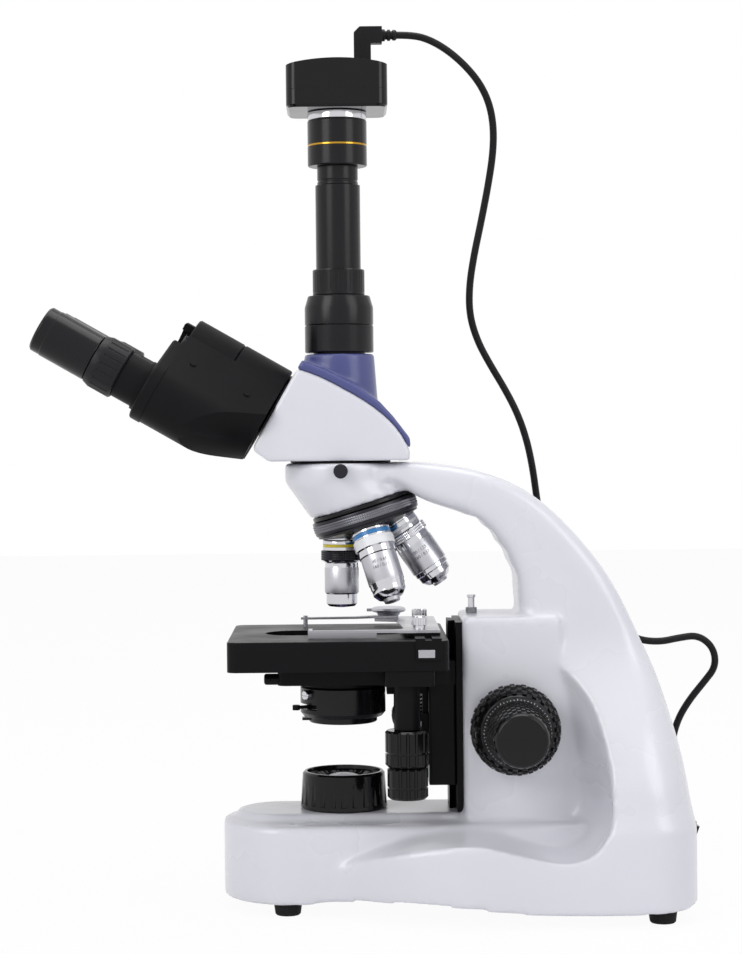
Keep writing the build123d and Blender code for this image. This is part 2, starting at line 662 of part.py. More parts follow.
def stage_bracket():
    """The sliding plate that carries the stage and the condenser's way."""
    front = 50.5
    back = BLOCK_FRONT - RAIL_THICK - 0.2
    bed = STAGE_TOP - STAGE_DEEP - AIR - BED_THICK
    body = block(front, back, -24, 24, 74, bed)
    body = fillet(body.edges().filter_by(Axis.Z), 1.5)
    body += block(STAGE_BACK + 1, back, -24, 24, bed - 2, bed + 12)
    mouth = back + 0.2
    way = plan((mouth + 1, -WAY_ROOT - SLIDE), (mouth + 1, WAY_ROOT + SLIDE),
               (mouth, WAY_ROOT + SLIDE), (mouth - WAY_DEEP - SLIDE, WAY_TIP + SLIDE),
               (mouth - WAY_DEEP - SLIDE, -WAY_TIP - SLIDE), (mouth, -WAY_ROOT - SLIDE))
    body -= extrude(way, 200)
    cheek = block(37, front, 13, 18, CONDENSER_KNOB_Z - 6, CONDENSER_KNOB_Z + 6)
    cheek = fillet(cheek.edges().filter_by(Axis.Y).group_by(Axis.X)[0], 4)
    body += both_sides(cheek)
    body -= extrude(plan((front - 1, -6), (front - 1, 6), (front, 6), (front + 4, 8),
                         (front + 4, -8), (front, -6)), 131)
    body -= across(2 + RUN, CONDENSER_KNOB_X, CONDENSER_KNOB_Z, -19, 19)
    return Compound([body, focus_rack()])


def focus_rack():
    """The toothed bar that reaches through the slot to the pinion."""
    pitch_x = FOCUS_X - GEAR_MODULE * GEAR_TEETH / 2
    root = BLOCK_FRONT - RAIL_THICK - WAY_DEEP - SLIDE
    bar = rack(GEAR_MODULE, 92, 130, pitch_x - root, FOCUS_Z)
    return Pos(pitch_x, 0, 0) * extrude(Plane.XZ * bar, RACK_HALF, both=True)


def stage_bed():
    """The fixed lower plate of the stage, with two grooved ways and the fore-and-aft rack."""
    low = STAGE_TOP - STAGE_DEEP - AIR - BED_THICK
    top = low + BED_THICK
    plate = block(BED_FRONT, STAGE_BACK + 1, -BED_HALF, BED_HALF, low, top)
    plate = fillet(plate.edges().filter_by(Axis.Z).group_by(Axis.X)[0], 5)
    way = block(BED_FRONT + 4, 55, RIB_Y - 3, RIB_Y + RIB_THICK + 3, top, top + 7.4)
    groove = block(BED_FRONT, 56, RIB_Y - SLIDE, RIB_Y + RIB_THICK + SLIDE, top + 2.2, top + 8)
    plate += both_sides(way - groove)
    pitch_y = COAX_Y + GEAR_MODULE * GEAR_TEETH / 2
    lie = Plane(origin=(COAX_X, pitch_y, top), x_dir=(0, -1, 0), z_dir=(0, 0, 1))
    strip = lie * extrude(rack(GEAR_MODULE, -29, 6, 1.2 - BED_HALF - pitch_y + 1.1, 0), 6.4)
    plate += strip
    plate -= drilled(BARREL_RADIUS + 1.6, 0, 0, low - 1, top + 1)
    rod = fillet(Cylinder(3.3, 24).edges().group_by(Axis.Z)[-1], 1.5)
    plate += Pos(BED_FRONT + 4, -36, low + 3.5) * Rot(0, -90, 0) * rod
    return plate


def stage_plate():
    """The upper plate: a shallow tray, open at the back, with ribs that run in the ways."""
    low = STAGE_TOP - STAGE_DEEP
    under = STAGE_TOP - STAGE_PLATE
    body = block(STAGE_FRONT, STAGE_BACK, -STAGE_HALF, STAGE_HALF, low, STAGE_TOP)
    body = fillet(body.edges().filter_by(Axis.Z), STAGE_CORNER)
    body = fillet(body.edges().group_by(Axis.Z)[-1], 0.8)
    inner = block(STAGE_FRONT + STAGE_WALL, STAGE_BACK - STAGE_WALL, STAGE_WALL - STAGE_HALF,
                  STAGE_HALF - STAGE_WALL, low - 1, under)
    body -= fillet(inner.edges().filter_by(Axis.Z), STAGE_CORNER - STAGE_WALL)
    body -= block(STAGE_BACK - STAGE_WALL - 2, STAGE_BACK + 1, -50, 50, low - 1, under - 2)
    body += both_sides(block(STAGE_FRONT + 12, 45, RIB_Y, RIB_Y + RIB_THICK, low + 2, under))
    # the floor that carries the coaxial controls
    floor = block(COAX_X - 16, COAX_X + 18, STAGE_WALL - STAGE_HALF, COAX_Y + 5.6, low, low + 1.5)
    body += floor
    body -= drilled(COAX_SLEEVE + RUN, COAX_X, COAX_Y, low - 1, low + 4)
    # the opening for the light
    light = Pos(-4, 0, under + 2) * extrude(SlotOverall(84, 2 * LIGHT_HALF), 8, both=True)
    return body - light


def cross_guide():
    """The bar across the back of the stage, turned down over its near edge."""
    top = STAGE_TOP + 1.6
    bar = block(42, 57, -STAGE_HALF - 1.8, STAGE_HALF - 2, STAGE_TOP, top)
    turned_down = block(42, 57, -STAGE_HALF - 1.8, -STAGE_HALF, STAGE_TOP - 11, top)
    shape = bar + turned_down
    groove = block(47.5, 51.5, -STAGE_HALF - 3, STAGE_HALF, STAGE_TOP + 0.4, top + 1)
    y = -STAGE_HALF - 1.8
    vernier = block(43.5, 53, y - 0.6, y, STAGE_TOP - 9.5, STAGE_TOP - 5)
    return Compound([shape - groove, vernier])


def holder_slide():
    """The runner of the slide holder, with a tongue in the cross guide's groove."""
    low = STAGE_TOP + 1.6 + SLIDE
    plate = block(38, 57, -44, 52, low, low + 1.4)
    tongue_bar = block(47.5 + SLIDE, 51.5 - SLIDE, -44, 20, STAGE_TOP + 0.4 + SLIDE, low)
    holes = [drilled(1.6, 45 + 2 * i, y, low - 2, low + 2) for i, y in ((0, -36), (1, 20))]
    return plate + tongue_bar - holes


def slide_holder():
    """The bright plate with the fixed arm that the specimen slide lies against."""
    low = STAGE_TOP + 1.6 + SLIDE + 1.4
    outline = plan((34, -45), (57, -45), (57, 56), (20, 60), (20, 40), (33, 34), (36, -32), (30, -37.2),
                   (-20, -38.4), (-20, -41.6), (30, -43))
    body = extrude(Pos(0, 0, low) * outline, 1.6)
    lip = block(-20, 20, -41.6, -40, STAGE_TOP + 0.4, low + 1.6)
    pin = drilled(1.5, -18.3, -40, STAGE_TOP + 0.4, low + 2.6)
    holes = [drilled(1.6, 45 + 2 * i, y, low - 1, low + 2) for i, y in ((0, -36), (1, 20))]
    pivot = drilled(2.2, *FINGER_PIVOT, low, low + 3.4)
    return Compound([body + lip + pin - holes + pivot, holder_slide(), *holder_screws()])


def holder_finger():
    """The sprung finger that clamps the slide, with its large knob."""
    low = STAGE_TOP + 1.6 + SLIDE + 1.4 + 1.6 + 0.1
    x, y = FINGER_PIVOT
    arm_face = plan((x + 6, y - 4), (x + 6, y + 5), (x - 4, y + 6), (8, 44), (-24, 41.2), (-25.5, 38.8),
                    (-20, 38.4), (8, 39.2), (x - 8, y - 6))
    arm_part = extrude(Pos(0, 0, low) * arm_face, 1.4)
    pin = drilled(1.4, -22.6, 39.9, STAGE_TOP + 0.4, low + 2.4)
    cap = Pos(x, y, low + 1.4) * turned((2.2 + RUN, 0), (6.5, 0), (7.5, 1.6), (10.4, 2.4), (10.8, 3.4),
                                        (10.2, 4.6), (8.6, 5.2), (0, 5.2), (0, 2.6), (2.2 + RUN, 2.6))
    lug = Pos(x - 11, y, low + 1.4 + 3.4) * Box(5, 3.2, 1.8)
    shape = arm_part + pin + cap + lug
    return shape - drilled(2.2 + RUN, x, y, low - 1, low + 1.4 + 2.6)


def holder_screws():
    """The two knurled screws that fasten the slide holder to its runner."""
    low = STAGE_TOP + 1.6 + SLIDE + 1.4 + 1.6
    screw = turned((0, -3), (1.55, -3), (1.55, 0), (3.4, 0), (3.4, 2.2), (4.6, 2.6), (4.6, 7.0),
                   (3.9, 7.6), (0, 7.6))
    screw = fluted(screw, 14, 0.7, 4.9, 2.6, 7.0)
    return [Pos(45 + 2 * i, y, low) * screw for i, y in ((0, -36), (1, 20))]


def coax_housing():
    """The bearing of the two coaxial knobs, hung under the edge of the upper plate."""
    top = STAGE_TOP - STAGE_DEEP
    flange = block(COAX_X - 13, COAX_X + 16, -STAGE_HALF + 1, COAX_Y + 5.6, top - 9, top)
    flange = fillet(flange.edges().filter_by(Axis.Z), 3)
    tube = drilled(7.7, COAX_X, COAX_Y, COAX_TUBE_LOW, top - 4)
    bore = drilled(COAX_SLEEVE + RUN, COAX_X, COAX_Y, 90, top + 1)
    return flange + tube - block(COAX_X - 20, COAX_X + 20, COAX_Y + 5.6, 0, top - 9, top + 1) - bore


def ribbed_knob(radius, inner, low, high, step, count):
    """A knob with upright ribs above and below a plain waist."""
    body = turned((inner, low), (radius - 1.5, low), (radius, low + 1.5), (radius, high - 1.2),
                  (radius - 1.2, high), (inner, high))
    body -= ring(radius - 0.9, radius + 1, step, step + 1.2)
    return fluted(body, count, 1.1, radius + 0.35, low - 1, high + 1)


def fore_aft_knob():
    """The upper knob on its sleeve, whose pinion runs on the rack of the lower plate."""
    top = STAGE_TOP - STAGE_DEEP
    body = ribbed_knob(UPPER_KNOB, COAX_SHAFT + RUN, 89.0, COAX_TUBE_LOW - AIR, 96.5, 16)
    body += ring(COAX_SHAFT + RUN, COAX_SLEEVE, COAX_TUBE_LOW - 2, top + 6)
    teeth = Pos(0, 0, top + 1.5 + AIR) * gear(GEAR_MODULE, GEAR_TEETH, 4.2, 90)
    shape = body + teeth
    return Pos(COAX_X, COAX_Y, 0) * (shape - Cylinder(COAX_SHAFT + RUN, 400))


def cross_knob():
    """The lower knob on the inner spindle, with the pulley of the cross drive at its top."""
    top = STAGE_TOP - STAGE_DEEP
    body = ribbed_knob(LOWER_KNOB, 0, 70.4, 89.0 - AIR, 76.5, 16)
    body += drilled(COAX_SHAFT, 0, 0, 80, top + 11)
    body += ring(0, 5.5, top + 7, top + 10.5) - ring(4.7, 6, top + 8.2, top + 9.4)
    return Pos(COAX_X, COAX_Y, 0) * body


# Condenser


def condenser_carrier():
    """The ring and arm that hold the condenser, running in the bracket's upright way."""
    front = 50.5
    body = ring(BARREL_RADIUS, DRUM_RADIUS - 0.6, DRUM_HIGH + 0.2, DRUM_HIGH + 2.4)
    arm_low = block(DRUM_RADIUS + 0.6, front - 0.2, -12, 12, 126.5, DRUM_HIGH + 2.4)
    arm_high = block(BARREL_RADIUS + 1.5, DRUM_RADIUS + 1, -12, 12, DRUM_HIGH + 0.2, DRUM_HIGH + 2.4)
    runner = block(47.4, front - 0.2, -12, 12, 104, 127)
    tongue_way = plan((front - 0.2, -6 + SLIDE), (front - 0.2, 6 - SLIDE), (front + 0.1, 6 - SLIDE),
                      (front + 4 - SLIDE, 8 - SLIDE), (front + 4 - SLIDE, -8 + SLIDE),
                      (front + 0.1, -6 + SLIDE))
    tongue_way = Pos(0, 0, 104) * extrude(tongue_way, DRUM_HIGH + 2.4 - 104 - 4)
    pitch_x = CONDENSER_KNOB_X + CONDENSER_MODULE * CONDENSER_TEETH / 2
    bar = rack(CONDENSER_MODULE, 104, 126, 47.6 - pitch_x, CONDENSER_KNOB_Z)
    bar = mirror(bar, about=Plane.YZ)
    teeth = Pos(pitch_x, 0, 0) * extrude(Plane.XZ * bar, 4, both=True)
    shape = body + arm_low + arm_high + runner + tongue_way + teeth
    return shape


def condenser_body():
    """The drum with the iris, its barrel above and the slot for the iris lever."""
    shape = turned((14, DRUM_LOW), (DRUM_RADIUS - 2, DRUM_LOW), (DRUM_RADIUS, DRUM_LOW + 2.5),
                   (DRUM_RADIUS, DRUM_HIGH - 1), (DRUM_RADIUS - 1, DRUM_HIGH),
                   (BARREL_RADIUS - 0.02, DRUM_HIGH), (BARREL_RADIUS - 0.02, 141),
                   (BARREL_RADIUS - 2, 144), (15, CONDENSER_TOP - 1.5), (14, CONDENSER_TOP - 1.5),
                   (14, 136), (14, 124), (22, 124), (22, 116), (14, 116))
    slot = Pos(0, 0, IRIS_Z) * extrude(
        plan((0, 0), (-40, 40 * tan(radians(52))), (-60, 0), (-40, -40 * tan(radians(52)))), 1.6,
        both=True)
    return Compound([shape - (slot - ring(0, 14, 100, 140)), *condenser_screws(), filter_pin()])


def condenser_lens():
    """The top lens, seated in the barrel."""
    return turned((0, 137), (13.98, 137), (13.98, CONDENSER_TOP - 1.5), (9, CONDENSER_TOP - 0.2),
                  (0, CONDENSER_TOP))


def condenser_screws():
    """The two centring screws on the drum."""
    screw = turned((0, -3.2), (1.4, -3.2), (1.4, 0), (2.9, 0), (2.9, 3.0), (2.4, 3.6), (0, 3.6))
    screw -= Pos(0, 0, 3.6) * Box(0.8, 6, 1.4)
    shapes = []
    for side in (-1, 1):
        turn = 180 + side * 38
        lie = Rot(0, 0, turn) * Pos(DRUM_RADIUS + 0.0, 0, 127) * Rot(0, 90, 0)
        shapes.append(lie * screw)
    return shapes


def iris_lever():
    """The ring of the iris with its lever, turning inside the drum."""
    hoop = ring(16, 22 - AIR, IRIS_Z - 1.2, IRIS_Z + 1.2)
    stem = block(-DRUM_RADIUS - 6, -18, -1.2, 1.2, IRIS_Z - 0.9, IRIS_Z + 0.9)
    knob = drilled(2.2, -DRUM_RADIUS - 6, 0, IRIS_Z - 1.5, IRIS_Z + 1.5)
    return Rot(0, 0, 28) * (hoop + stem + knob)


def filter_holder():
    """The swing-out filter ring under the drum."""
    low = DRUM_LOW - 0.2 - 3.4
    body = turned((16, low), (19.8, low), (20.4, low + 0.6), (20.4, low + 3.4), (17.5, low + 3.4),
                  (17.5, low + 1), (16, low + 1))
    ear = drilled(3.4, *FILTER_PIVOT, low, low + 3.4)
    tab = block(-24.5, -19.6, -3, 3, low + 1, low + 2.6)
    body = body + (ear - drilled(17.5, 0, 0, low - 1, low + 5)) + tab
    return body - drilled(1.2 + RUN, *FILTER_PIVOT, low - 1, low + 5)


def filter_pin():
    low = DRUM_LOW - 0.2 - 3.4
    pin = drilled(1.2, *FILTER_PIVOT, low - 0.6, DRUM_LOW)
    return pin + drilled(2.4, *FILTER_PIVOT, low - 1.6, low - 0.3)


def condenser_knob():
    """The height knob of the condenser with its spindle and pinion."""
    lie = Plane(origin=(CONDENSER_KNOB_X, 0, CONDENSER_KNOB_Z), x_dir=(1, 0, 0), z_dir=(0, 1, 0))
    spindle = ring(0, 2, -19, 26)
    teeth = Pos(0, 0, -4.5) * gear(CONDENSER_MODULE, CONDENSER_TEETH, 9, 0)
    knob = ring(0, 13.4, 25, 37, 1.2)
    knob = fluted(knob, 18, 1.4, 13.9, 27, 38)
    end = ring(0, 3.4, -20.4, -19)
    return lie * (spindle + teeth + knob + end)


# Nosepiece and objectives


def nosepiece_mount():
    """The fixed disc under the arm, with the pivot of the turret and a hole for the light."""
    disc = ring(0, MOUNT_RADIUS - 0.7, 0, TURRET_TOP - MOUNT_FACE - AIR, 0.4)
    pivot = ring(0, 5, TURRET_TOP - MOUNT_FACE - AIR, 14)
    lie = nose_plane(MOUNT_FACE)
    return lie * (disc + pivot) - drilled(9, 0, 0, 200, 260)


def nosepiece_turret():
    """The knurled turret: a cup whose cone carries four threaded seats."""
    top = TURRET_TOP
    low = top + TURRET_RIM
    lean = radians(NOSE_TILT)
    reach = TURRET_RADIUS - 1.2 - SHOULDER * sin(lean)
    edge_z = SHOULDER * cos(lean) - reach * tan(lean)
    flat = 9.0
    flat_z = SHOULDER * cos(lean) + (SHOULDER * sin(lean) - flat) * tan(lean)
    profile = turned((5 + RUN, top + 5), (27, top + 5), (29, top), (TURRET_RADIUS - 1, top),
                     (TURRET_RADIUS, top + 1), (TURRET_RADIUS, low - 1), (TURRET_RADIUS - 1, low),
                     (TURRET_RADIUS - 1.2, edge_z), (flat, flat_z), (5 + RUN, flat_z))
    body = profile
    for place in range(4):
        body -= objective_axis(place, local=True) * drilled(THREAD_RADIUS, 0, 0, -20, 10)
    return nose_plane(0) * body


def objective_axis(place, local=False):
    """The seat of one objective: +Z points along it, away from the turret."""
    lean = radians(NOSE_TILT)
    turn = radians(180 + 90 * place)
    axis = Vector(sin(lean) * cos(turn), sin(lean) * sin(turn), cos(lean))
    side = Vector(-sin(turn), cos(turn), 0)
    seat = Plane(origin=axis * SHOULDER, x_dir=side, z_dir=axis)
    return seat if local else nose_plane(0) * seat.location


def objective(place, profile, band):
    """One objective from its (radius, depth) outline, with its colour ring and front lens."""
    body = turned((5, -4.6), (THREAD_RADIUS - RUN, -4.6), (THREAD_RADIUS - RUN, 0), *profile,
                  (2.2, profile[-1][1]), (5, profile[-1][1] - 6))
    low, high, radius, outer = band
    body -= ring(radius, radius + 4, low, high)
    colour = ring(radius, outer, low, high)
    depth = profile[-1][1]
    lens = turned((0, depth - 5), (4.3, depth - 5), (2.15, depth - 0.6), (0, depth + 0.1))
    return objective_axis(place) * Compound([body, colour, lens])


POWER_4 = [(11.9, 0), (11.9, 8), (11.2, 8.6), (11.2, 16), (10.4, 16.6), (10.4, 22), (9.6, 23),
           (8.4, 27.4), (6.8, 29)]
POWER_10 = [(11.2, 0), (11.2, 6.4), (12, 6.8), (12, 12.4), (10.9, 13.4), (9.9, 14), (9.9, 16.6),
            (10.2, 17.2), (10.2, 32), (9.3, 32.6), (9.3, 38.6), (7.8, 40), (5, 40.5)]
POWER_40 = [(11.6, 0), (11.6, 5), (12.2, 5.4), (12.2, 11), (11.4, 11.8), (11.4, 15.4), (10.7, 16),
            (10.7, 32.6), (10.3, 33), (10.3, 35.4), (9.9, 35.8), (9.9, 38.6), (7.6, 41.6),
            (5.2, 42.6), (4.6, 44.5)]
POWER_100 = [(10.6, 0), (10.6, 6.6), (11.9, 7), (11.9, 11.6), (11.2, 12), (11.2, 15.6), (11.4, 16),
             (11.4, 32.4), (11, 32.8), (11, 35), (10.2, 35.6), (9.9, 39), (7.4, 42), (5, 43),
             (4.4, 44.5)]
BAND_4 = (2.6, 4.4, 11.0, 11.8)
BAND_10 = (2.8, 4.4, 10.3, 11.1)
BAND_40 = (1.6, 4.2, 10.7, 11.5)
BAND_100 = (3.0, 4.6, 9.8, 10.5)


# Head


def head_dovetail():
    """The black ring that seats the head on the arm."""
    body = dovetail_seat(0) + ring(0, 30, HEAD_TOP + 0.1, HEAD_TOP + HEAD_GAP, 0.3)
    return body - drilled(12, 0, 0, 250, 270)


def head_face(along):
    """A point of the housing's sloping front face, at a distance along its slope."""
    lean = radians(HEAD_TILT)
    return (HINGE_X - cos(lean) * HEAD_FACE + sin(lean) * along,
            HINGE_Z + sin(lean) * HEAD_FACE + cos(lean) * along)


def head_outline():
    """The white housing in side view."""
    low = HEAD_TOP + HEAD_GAP
    crown = Spline(head_face(25.4), (-12, 315.6), (1.3, 308.8), (14.7, 300.9), (26.1, 292.2),
                   (35.5, 281.6), (40.2, 273))
    rest = Polyline((40.2, 273), (41.1, 270.5), (40.6, low), (-42.1, low), (-50.7, 272),
                    head_face(-27), head_face(25.4))
    return crown, rest


def head_housing():
    crown, rest = head_outline()
    body = extrude(Plane.XZ * make_face(crown + rest), HEAD_HALF, both=True)
    inner = side_view((-37, HEAD_TOP - 1), (34, HEAD_TOP - 1), (33, 276), (22, 290), (2, 303),
                      (-18, 312), (-24, 309), (-43, 276))
    body -= extrude(inner, HEAD_HALF - 4, both=True)
    body -= drilled(13, 0, 0, 280, 320)
    body -= eye_plane(0) * Pos(0, 0, -8) * Cylinder(PIN_RADIUS, 20)
    return body


def head_cover():
    """The blue cover: a brim over the housing's back and a cone up to the photo port."""
    inner = Spline(head_face(25.4), (-12, 315.6), (1.3, 308.8), (14.7, 300.9), (26.1, 292.2),
                   (35.5, 281.6), (40.2, 273))
    outer = Polyline((40.2, 273), (41.4, 274), (40.9, 279), (31.5, 291.5), (23.4, 300.5),
                     (12, 309), (-1, 316), (-12, 321.2), (-22, 325.3), head_face(25.4))
    brim = extrude(Plane.XZ * make_face(inner + outer), HEAD_HALF, both=True)
    cone = turned((0, 285), (23.9, 285), (PORT_RADIUS + 0.25, COVER_TOP - 0.6),
                  (PORT_RADIUS - 0.4, COVER_TOP), (0, COVER_TOP))
    crown, rest = head_outline()
    cone -= extrude(Plane.XZ * make_face(crown + rest), HEAD_HALF, both=True)
    return brim + cone - drilled(13, 0, 0, 260, 340)


def eye_plane(distance):
    """A plane across the tubes: X to the user's right, Y up along the tubes' slope."""
    lean = radians(HEAD_TILT)
    axis = Vector(-cos(lean), 0, sin(lean))
    return Plane(origin=Vector(HINGE_X, 0, HINGE_Z) + axis * distance, x_dir=(0, -1, 0), z_dir=axis)


def head_prism():
    """The glass prism that splits the light between the tubes, on its small table."""
    glass = side_view((-13, 276), (13, 276), (13, 292), (0, 300), (-13, 300))
    table = block(-16, 16, -HEAD_HALF + 4, HEAD_HALF - 4, 273, 276) - drilled(9, 0, 0, 270, 280)
    return Compound([extrude(glass, 12, both=True), table])


def tube_bracket():
    """The flange on the head and the hollow hinge pin of the two eyepiece boxes."""
    flange = ring(0, 20.5, HEAD_FACE, -AIR, 0.4)
    pin = ring(0, PIN_RADIUS, HEAD_FACE - 5, BOX_LENGTH - 4)
    cap = ring(0, CAP_RADIUS, BOX_LENGTH - BOX_COLLAR + AIR, BOX_LENGTH - 4, 0.6)
    return eye_plane(0) * (flange + pin + cap - Cylinder(PIN_RADIUS - 2.5, 300))


def hull_of_circles(r0, x1, y1, r1):
    """The outline around a circle at the origin and a smaller one beside it."""
    far = hypot(x1, y1)
    lean = atan2(y1, x1)
    spread = acos((r0 - r1) / far)
    a0 = (r0 * cos(lean + spread), r0 * sin(lean + spread))
    a1 = (x1 + r1 * cos(lean + spread), y1 + r1 * sin(lean + spread))
    b0 = (r0 * cos(lean - spread), r0 * sin(lean - spread))
    b1 = (x1 + r1 * cos(lean - spread), y1 + r1 * sin(lean - spread))
    near = (-r0 * cos(lean), -r0 * sin(lean))
    away = (x1 + r1 * cos(lean), y1 + r1 * sin(lean))
    outline = Curve() + [Line(a0, a1), ThreePointArc(a1, away, b1), Line(b1, b0),
                         ThreePointArc(b0, near, a0)]
    return make_face(outline)


def prism_box(side):
    """One eyepiece box; it holds the rear or the front part of the hinge drum."""
    deep = BOX_LENGTH - BOX_COLLAR
    if side > 0:
        own, other = (0, DRUM_SPLIT), (DRUM_SPLIT, BOX_LENGTH)
    else:
        own, other = (DRUM_SPLIT + AIR, deep), (-1, DRUM_SPLIT + AIR)
    body = extrude(hull_of_circles(DRUM_HEAD - 0.5, TUBE_SIDE, -TUBE_DROP, TUBE_BOX), deep)
    front = hull_of_circles(DRUM_HEAD - 5, TUBE_SIDE, -TUBE_DROP, TUBE_BOX + 0.6)
    plate = Pos(0, 0, deep) * extrude(front, BOX_COLLAR)
    body += fillet(plate.edges().group_by(Axis.Z)[-1], 1.6)
    # each box keeps to its own side and gives way to the other's drum
    body -= Rot(0, 0, CLOSE_ROOM) * Pos(-100, 0, 0) * Box(200, 200, 400)
    body -= ring(0, DRUM_HEAD + AIR, *other)
    body += ring(0, DRUM_HEAD, *own, 0.8)
    # a cone about the hinge cuts the lower corner, so that it never meets the arm
    slope = tan(radians(HEAD_TILT))
    body &= turned((0, 0), (CORNER_CUT, 0), (CORNER_CUT + BOX_LENGTH * slope, BOX_LENGTH),
                   (0, BOX_LENGTH))
    body -= ring(0, PIN_RADIUS + RUN, -1, BOX_LENGTH + 1)
    body -= ring(0, CAP_RADIUS + AIR, deep, BOX_LENGTH + 1)
    # the hollow that takes the light from the hinge to the eye tube, inside the cone's wall
    inner = CORNER_CUT - BOX_WALL
    within = turned((0, -1), (inner, -1), (inner + BOX_LENGTH * slope, BOX_LENGTH),
                    (inner + BOX_LENGTH * slope, BOX_LENGTH + 2), (0, BOX_LENGTH + 2))
    start = own[0] + 5
    room = extrude(hull_of_circles(10, TUBE_SIDE, -TUBE_DROP, 12), 22)
    body -= (Pos(0, 0, start) * (room - ring(0, DRUM_HEAD - 4, -1, 30))) & within
    body -= at_bore(ring(0, 12.6, start + 10, deep + 1)) & within
    body -= at_bore(ring(0, 13.5, deep, BOX_LENGTH + 1))
    return body


def at_bore(shape):
    """Moves a piece from the hinge to the axis of the right eye tube."""
    return Pos(TUBE_SIDE, -TUBE_DROP, 0) * shape


def at_head(side, shape):
    """Puts a piece drawn for the right eye on either side of the head."""
    if side < 0:
        shape = mirror(shape, about=Plane.YZ)
    return eye_plane(0) * shape


def box_screws():
    """The two screws in the outer wall of a box."""
    lean = atan2(-TUBE_DROP, TUBE_SIDE)
    spread = acos((DRUM_HEAD - TUBE_BOX) / hypot(TUBE_SIDE, TUBE_DROP))
    screw = turned((0, -2.5), (1.1, -2.5), (1.1, 0), (1.9, 0), (1.9, 0.5), (0, 0.5))
    shapes = []
    for along, share in ((16, 0.6), (52, 0.6)):
        x = share * TUBE_SIDE
        y = -share * TUBE_DROP
        reach = DRUM_HEAD + share * (TUBE_BOX - DRUM_HEAD)
        x += reach * cos(lean + spread)
        y += reach * sin(lean + spread)
        lie = Pos(x, y, along) * Rot(0, 0, degrees(lean + spread)) * Rot(0, 90, 0)
        shapes.append(lie * screw)
    return shapes


def eyepiece_box(side):
    """A box with its screws and its fixed tube."""
    return at_head(side, Compound([prism_box(side), at_bore(eye_tube()), *box_screws()]))


def eye_tube():
    """The fixed tube, with a narrower neck for the dioptre ring."""
    body = turned((EYE_BORE + RUN, BOX_LENGTH - BOX_COLLAR - 6), (12.6, BOX_LENGTH - BOX_COLLAR - 6),
                  (12.6, BOX_LENGTH - BOX_COLLAR), (13.5, BOX_LENGTH - BOX_COLLAR),
                  (13.5, BOX_LENGTH), (15.6, BOX_LENGTH), (15.6, BOX_LENGTH + 2.2),
                  (EYE_TUBE, BOX_LENGTH + 2.4), (EYE_TUBE, TUBE_OUT), (12.6, TUBE_OUT),
                  (12.6, TUBE_OUT + 17), (EYE_BORE + RUN, TUBE_OUT + 17))
    return body


def diopter_ring(side):
    """The grooved ring that sets one eye's focus."""
    low = TUBE_OUT + AIR
    high = low + 18.2
    body = turned((12.6 + RUN, low), (DIOPTER - 0.8, low), (DIOPTER, low + 0.8), (DIOPTER, high - 4),
                  (DIOPTER - 1.4, high), (12.6 + RUN, high))
    return at_head(side, at_bore(fluted(body, 20, 1.0, DIOPTER + 0.6, low + 2, high - 5)))


def eyepiece(side):
    """A wide-field eyepiece, whose barrel slides into the eye tube."""
    low = TUBE_OUT + AIR + 18.2 + AIR
    body = turned((9.5, low - 24), (EYE_BORE, low - 24), (EYE_BORE, low), (EYEPIECE - 0.6, low),
                  (EYEPIECE, low + 0.6), (EYEPIECE, EYEPIECE_END - 7), (EYEPIECE - 0.3, EYEPIECE_END - 6.6),
                  (EYEPIECE - 0.3, EYEPIECE_END - 1.2), (EYEPIECE - 1.4, EYEPIECE_END),
                  (11.6, EYEPIECE_END), (9.5, EYEPIECE_END - 3))
    lens = turned((0, EYEPIECE_END - 9), (9.48, EYEPIECE_END - 9), (9.48, EYEPIECE_END - 3.6),
                  (5, EYEPIECE_END - 2.6), (0, EYEPIECE_END - 2.3))
    return at_head(side, at_bore(Compound([body, lens])))


# Photo tube and camera


def photo_port():
    """The stepped black ring above the cover."""
    r = PORT_RADIUS
    body = turned((12, COVER_TOP - 4), (12.98, COVER_TOP - 4), (12.98, COVER_TOP), (15.5, COVER_TOP),
                  (15.5, 330.3), (r - 0.5, 330.3), (r, 330.8), (r, 346.2), (r - 0.5, 346.4),
                  (r - 0.5, 346.8), (r, 347), (r, 357.1), (18.7, 363.6), (18.2, 364.3), (12, 364.3))
    return body


def lock_collar():
    """The knurled collar that locks the photo tube."""
    body = ring(13.4 + RUN, 15.55, 364.3 + AIR, 380.0, 0.4)
    return fluted(body, 40, 0.45, 15.8, 366.5, 378.6)


def photo_tube():
    body = turned((11, 350), (11.97, 350), (11.97, 364.3), (13.4, 364.3), (13.4, 430.5), (12.2, 430.9),
                  (12.2, 432.4), (11.8, 432.8), (11.8, 433.4), (12.2, 433.8), (12.2, 441.9), (11, 441.9))
    return body


def camera_adapter():
    """The ring between tube and camera, grooved for its bright line."""
    body = turned((11, 441.9), (12.6, 441.9), (17.2, 441.9), (17.75, 442.5), (17.75, 453.8),
                  (17.3, 453.8), (17.3, 455), (17.75, 455), (17.75, 468.8), (17.2, 469.4), (11, 469.4))
    line = ring(17.3, 17.7, 453.8, 455.0)
    bright = ring(11, 17.75, 469.4, CAMERA_LOW, 0.5)
    return Compound([body, line, bright])


def camera_shape(low, high, inset):
    """The camera case in plan, with a gently arched top."""
    half = CAMERA_HALF - inset
    body = Pos(0, 0, low) * extrude(RectangleRounded(2 * half, 2 * half - 4, 7 - inset), high - low)
    return body


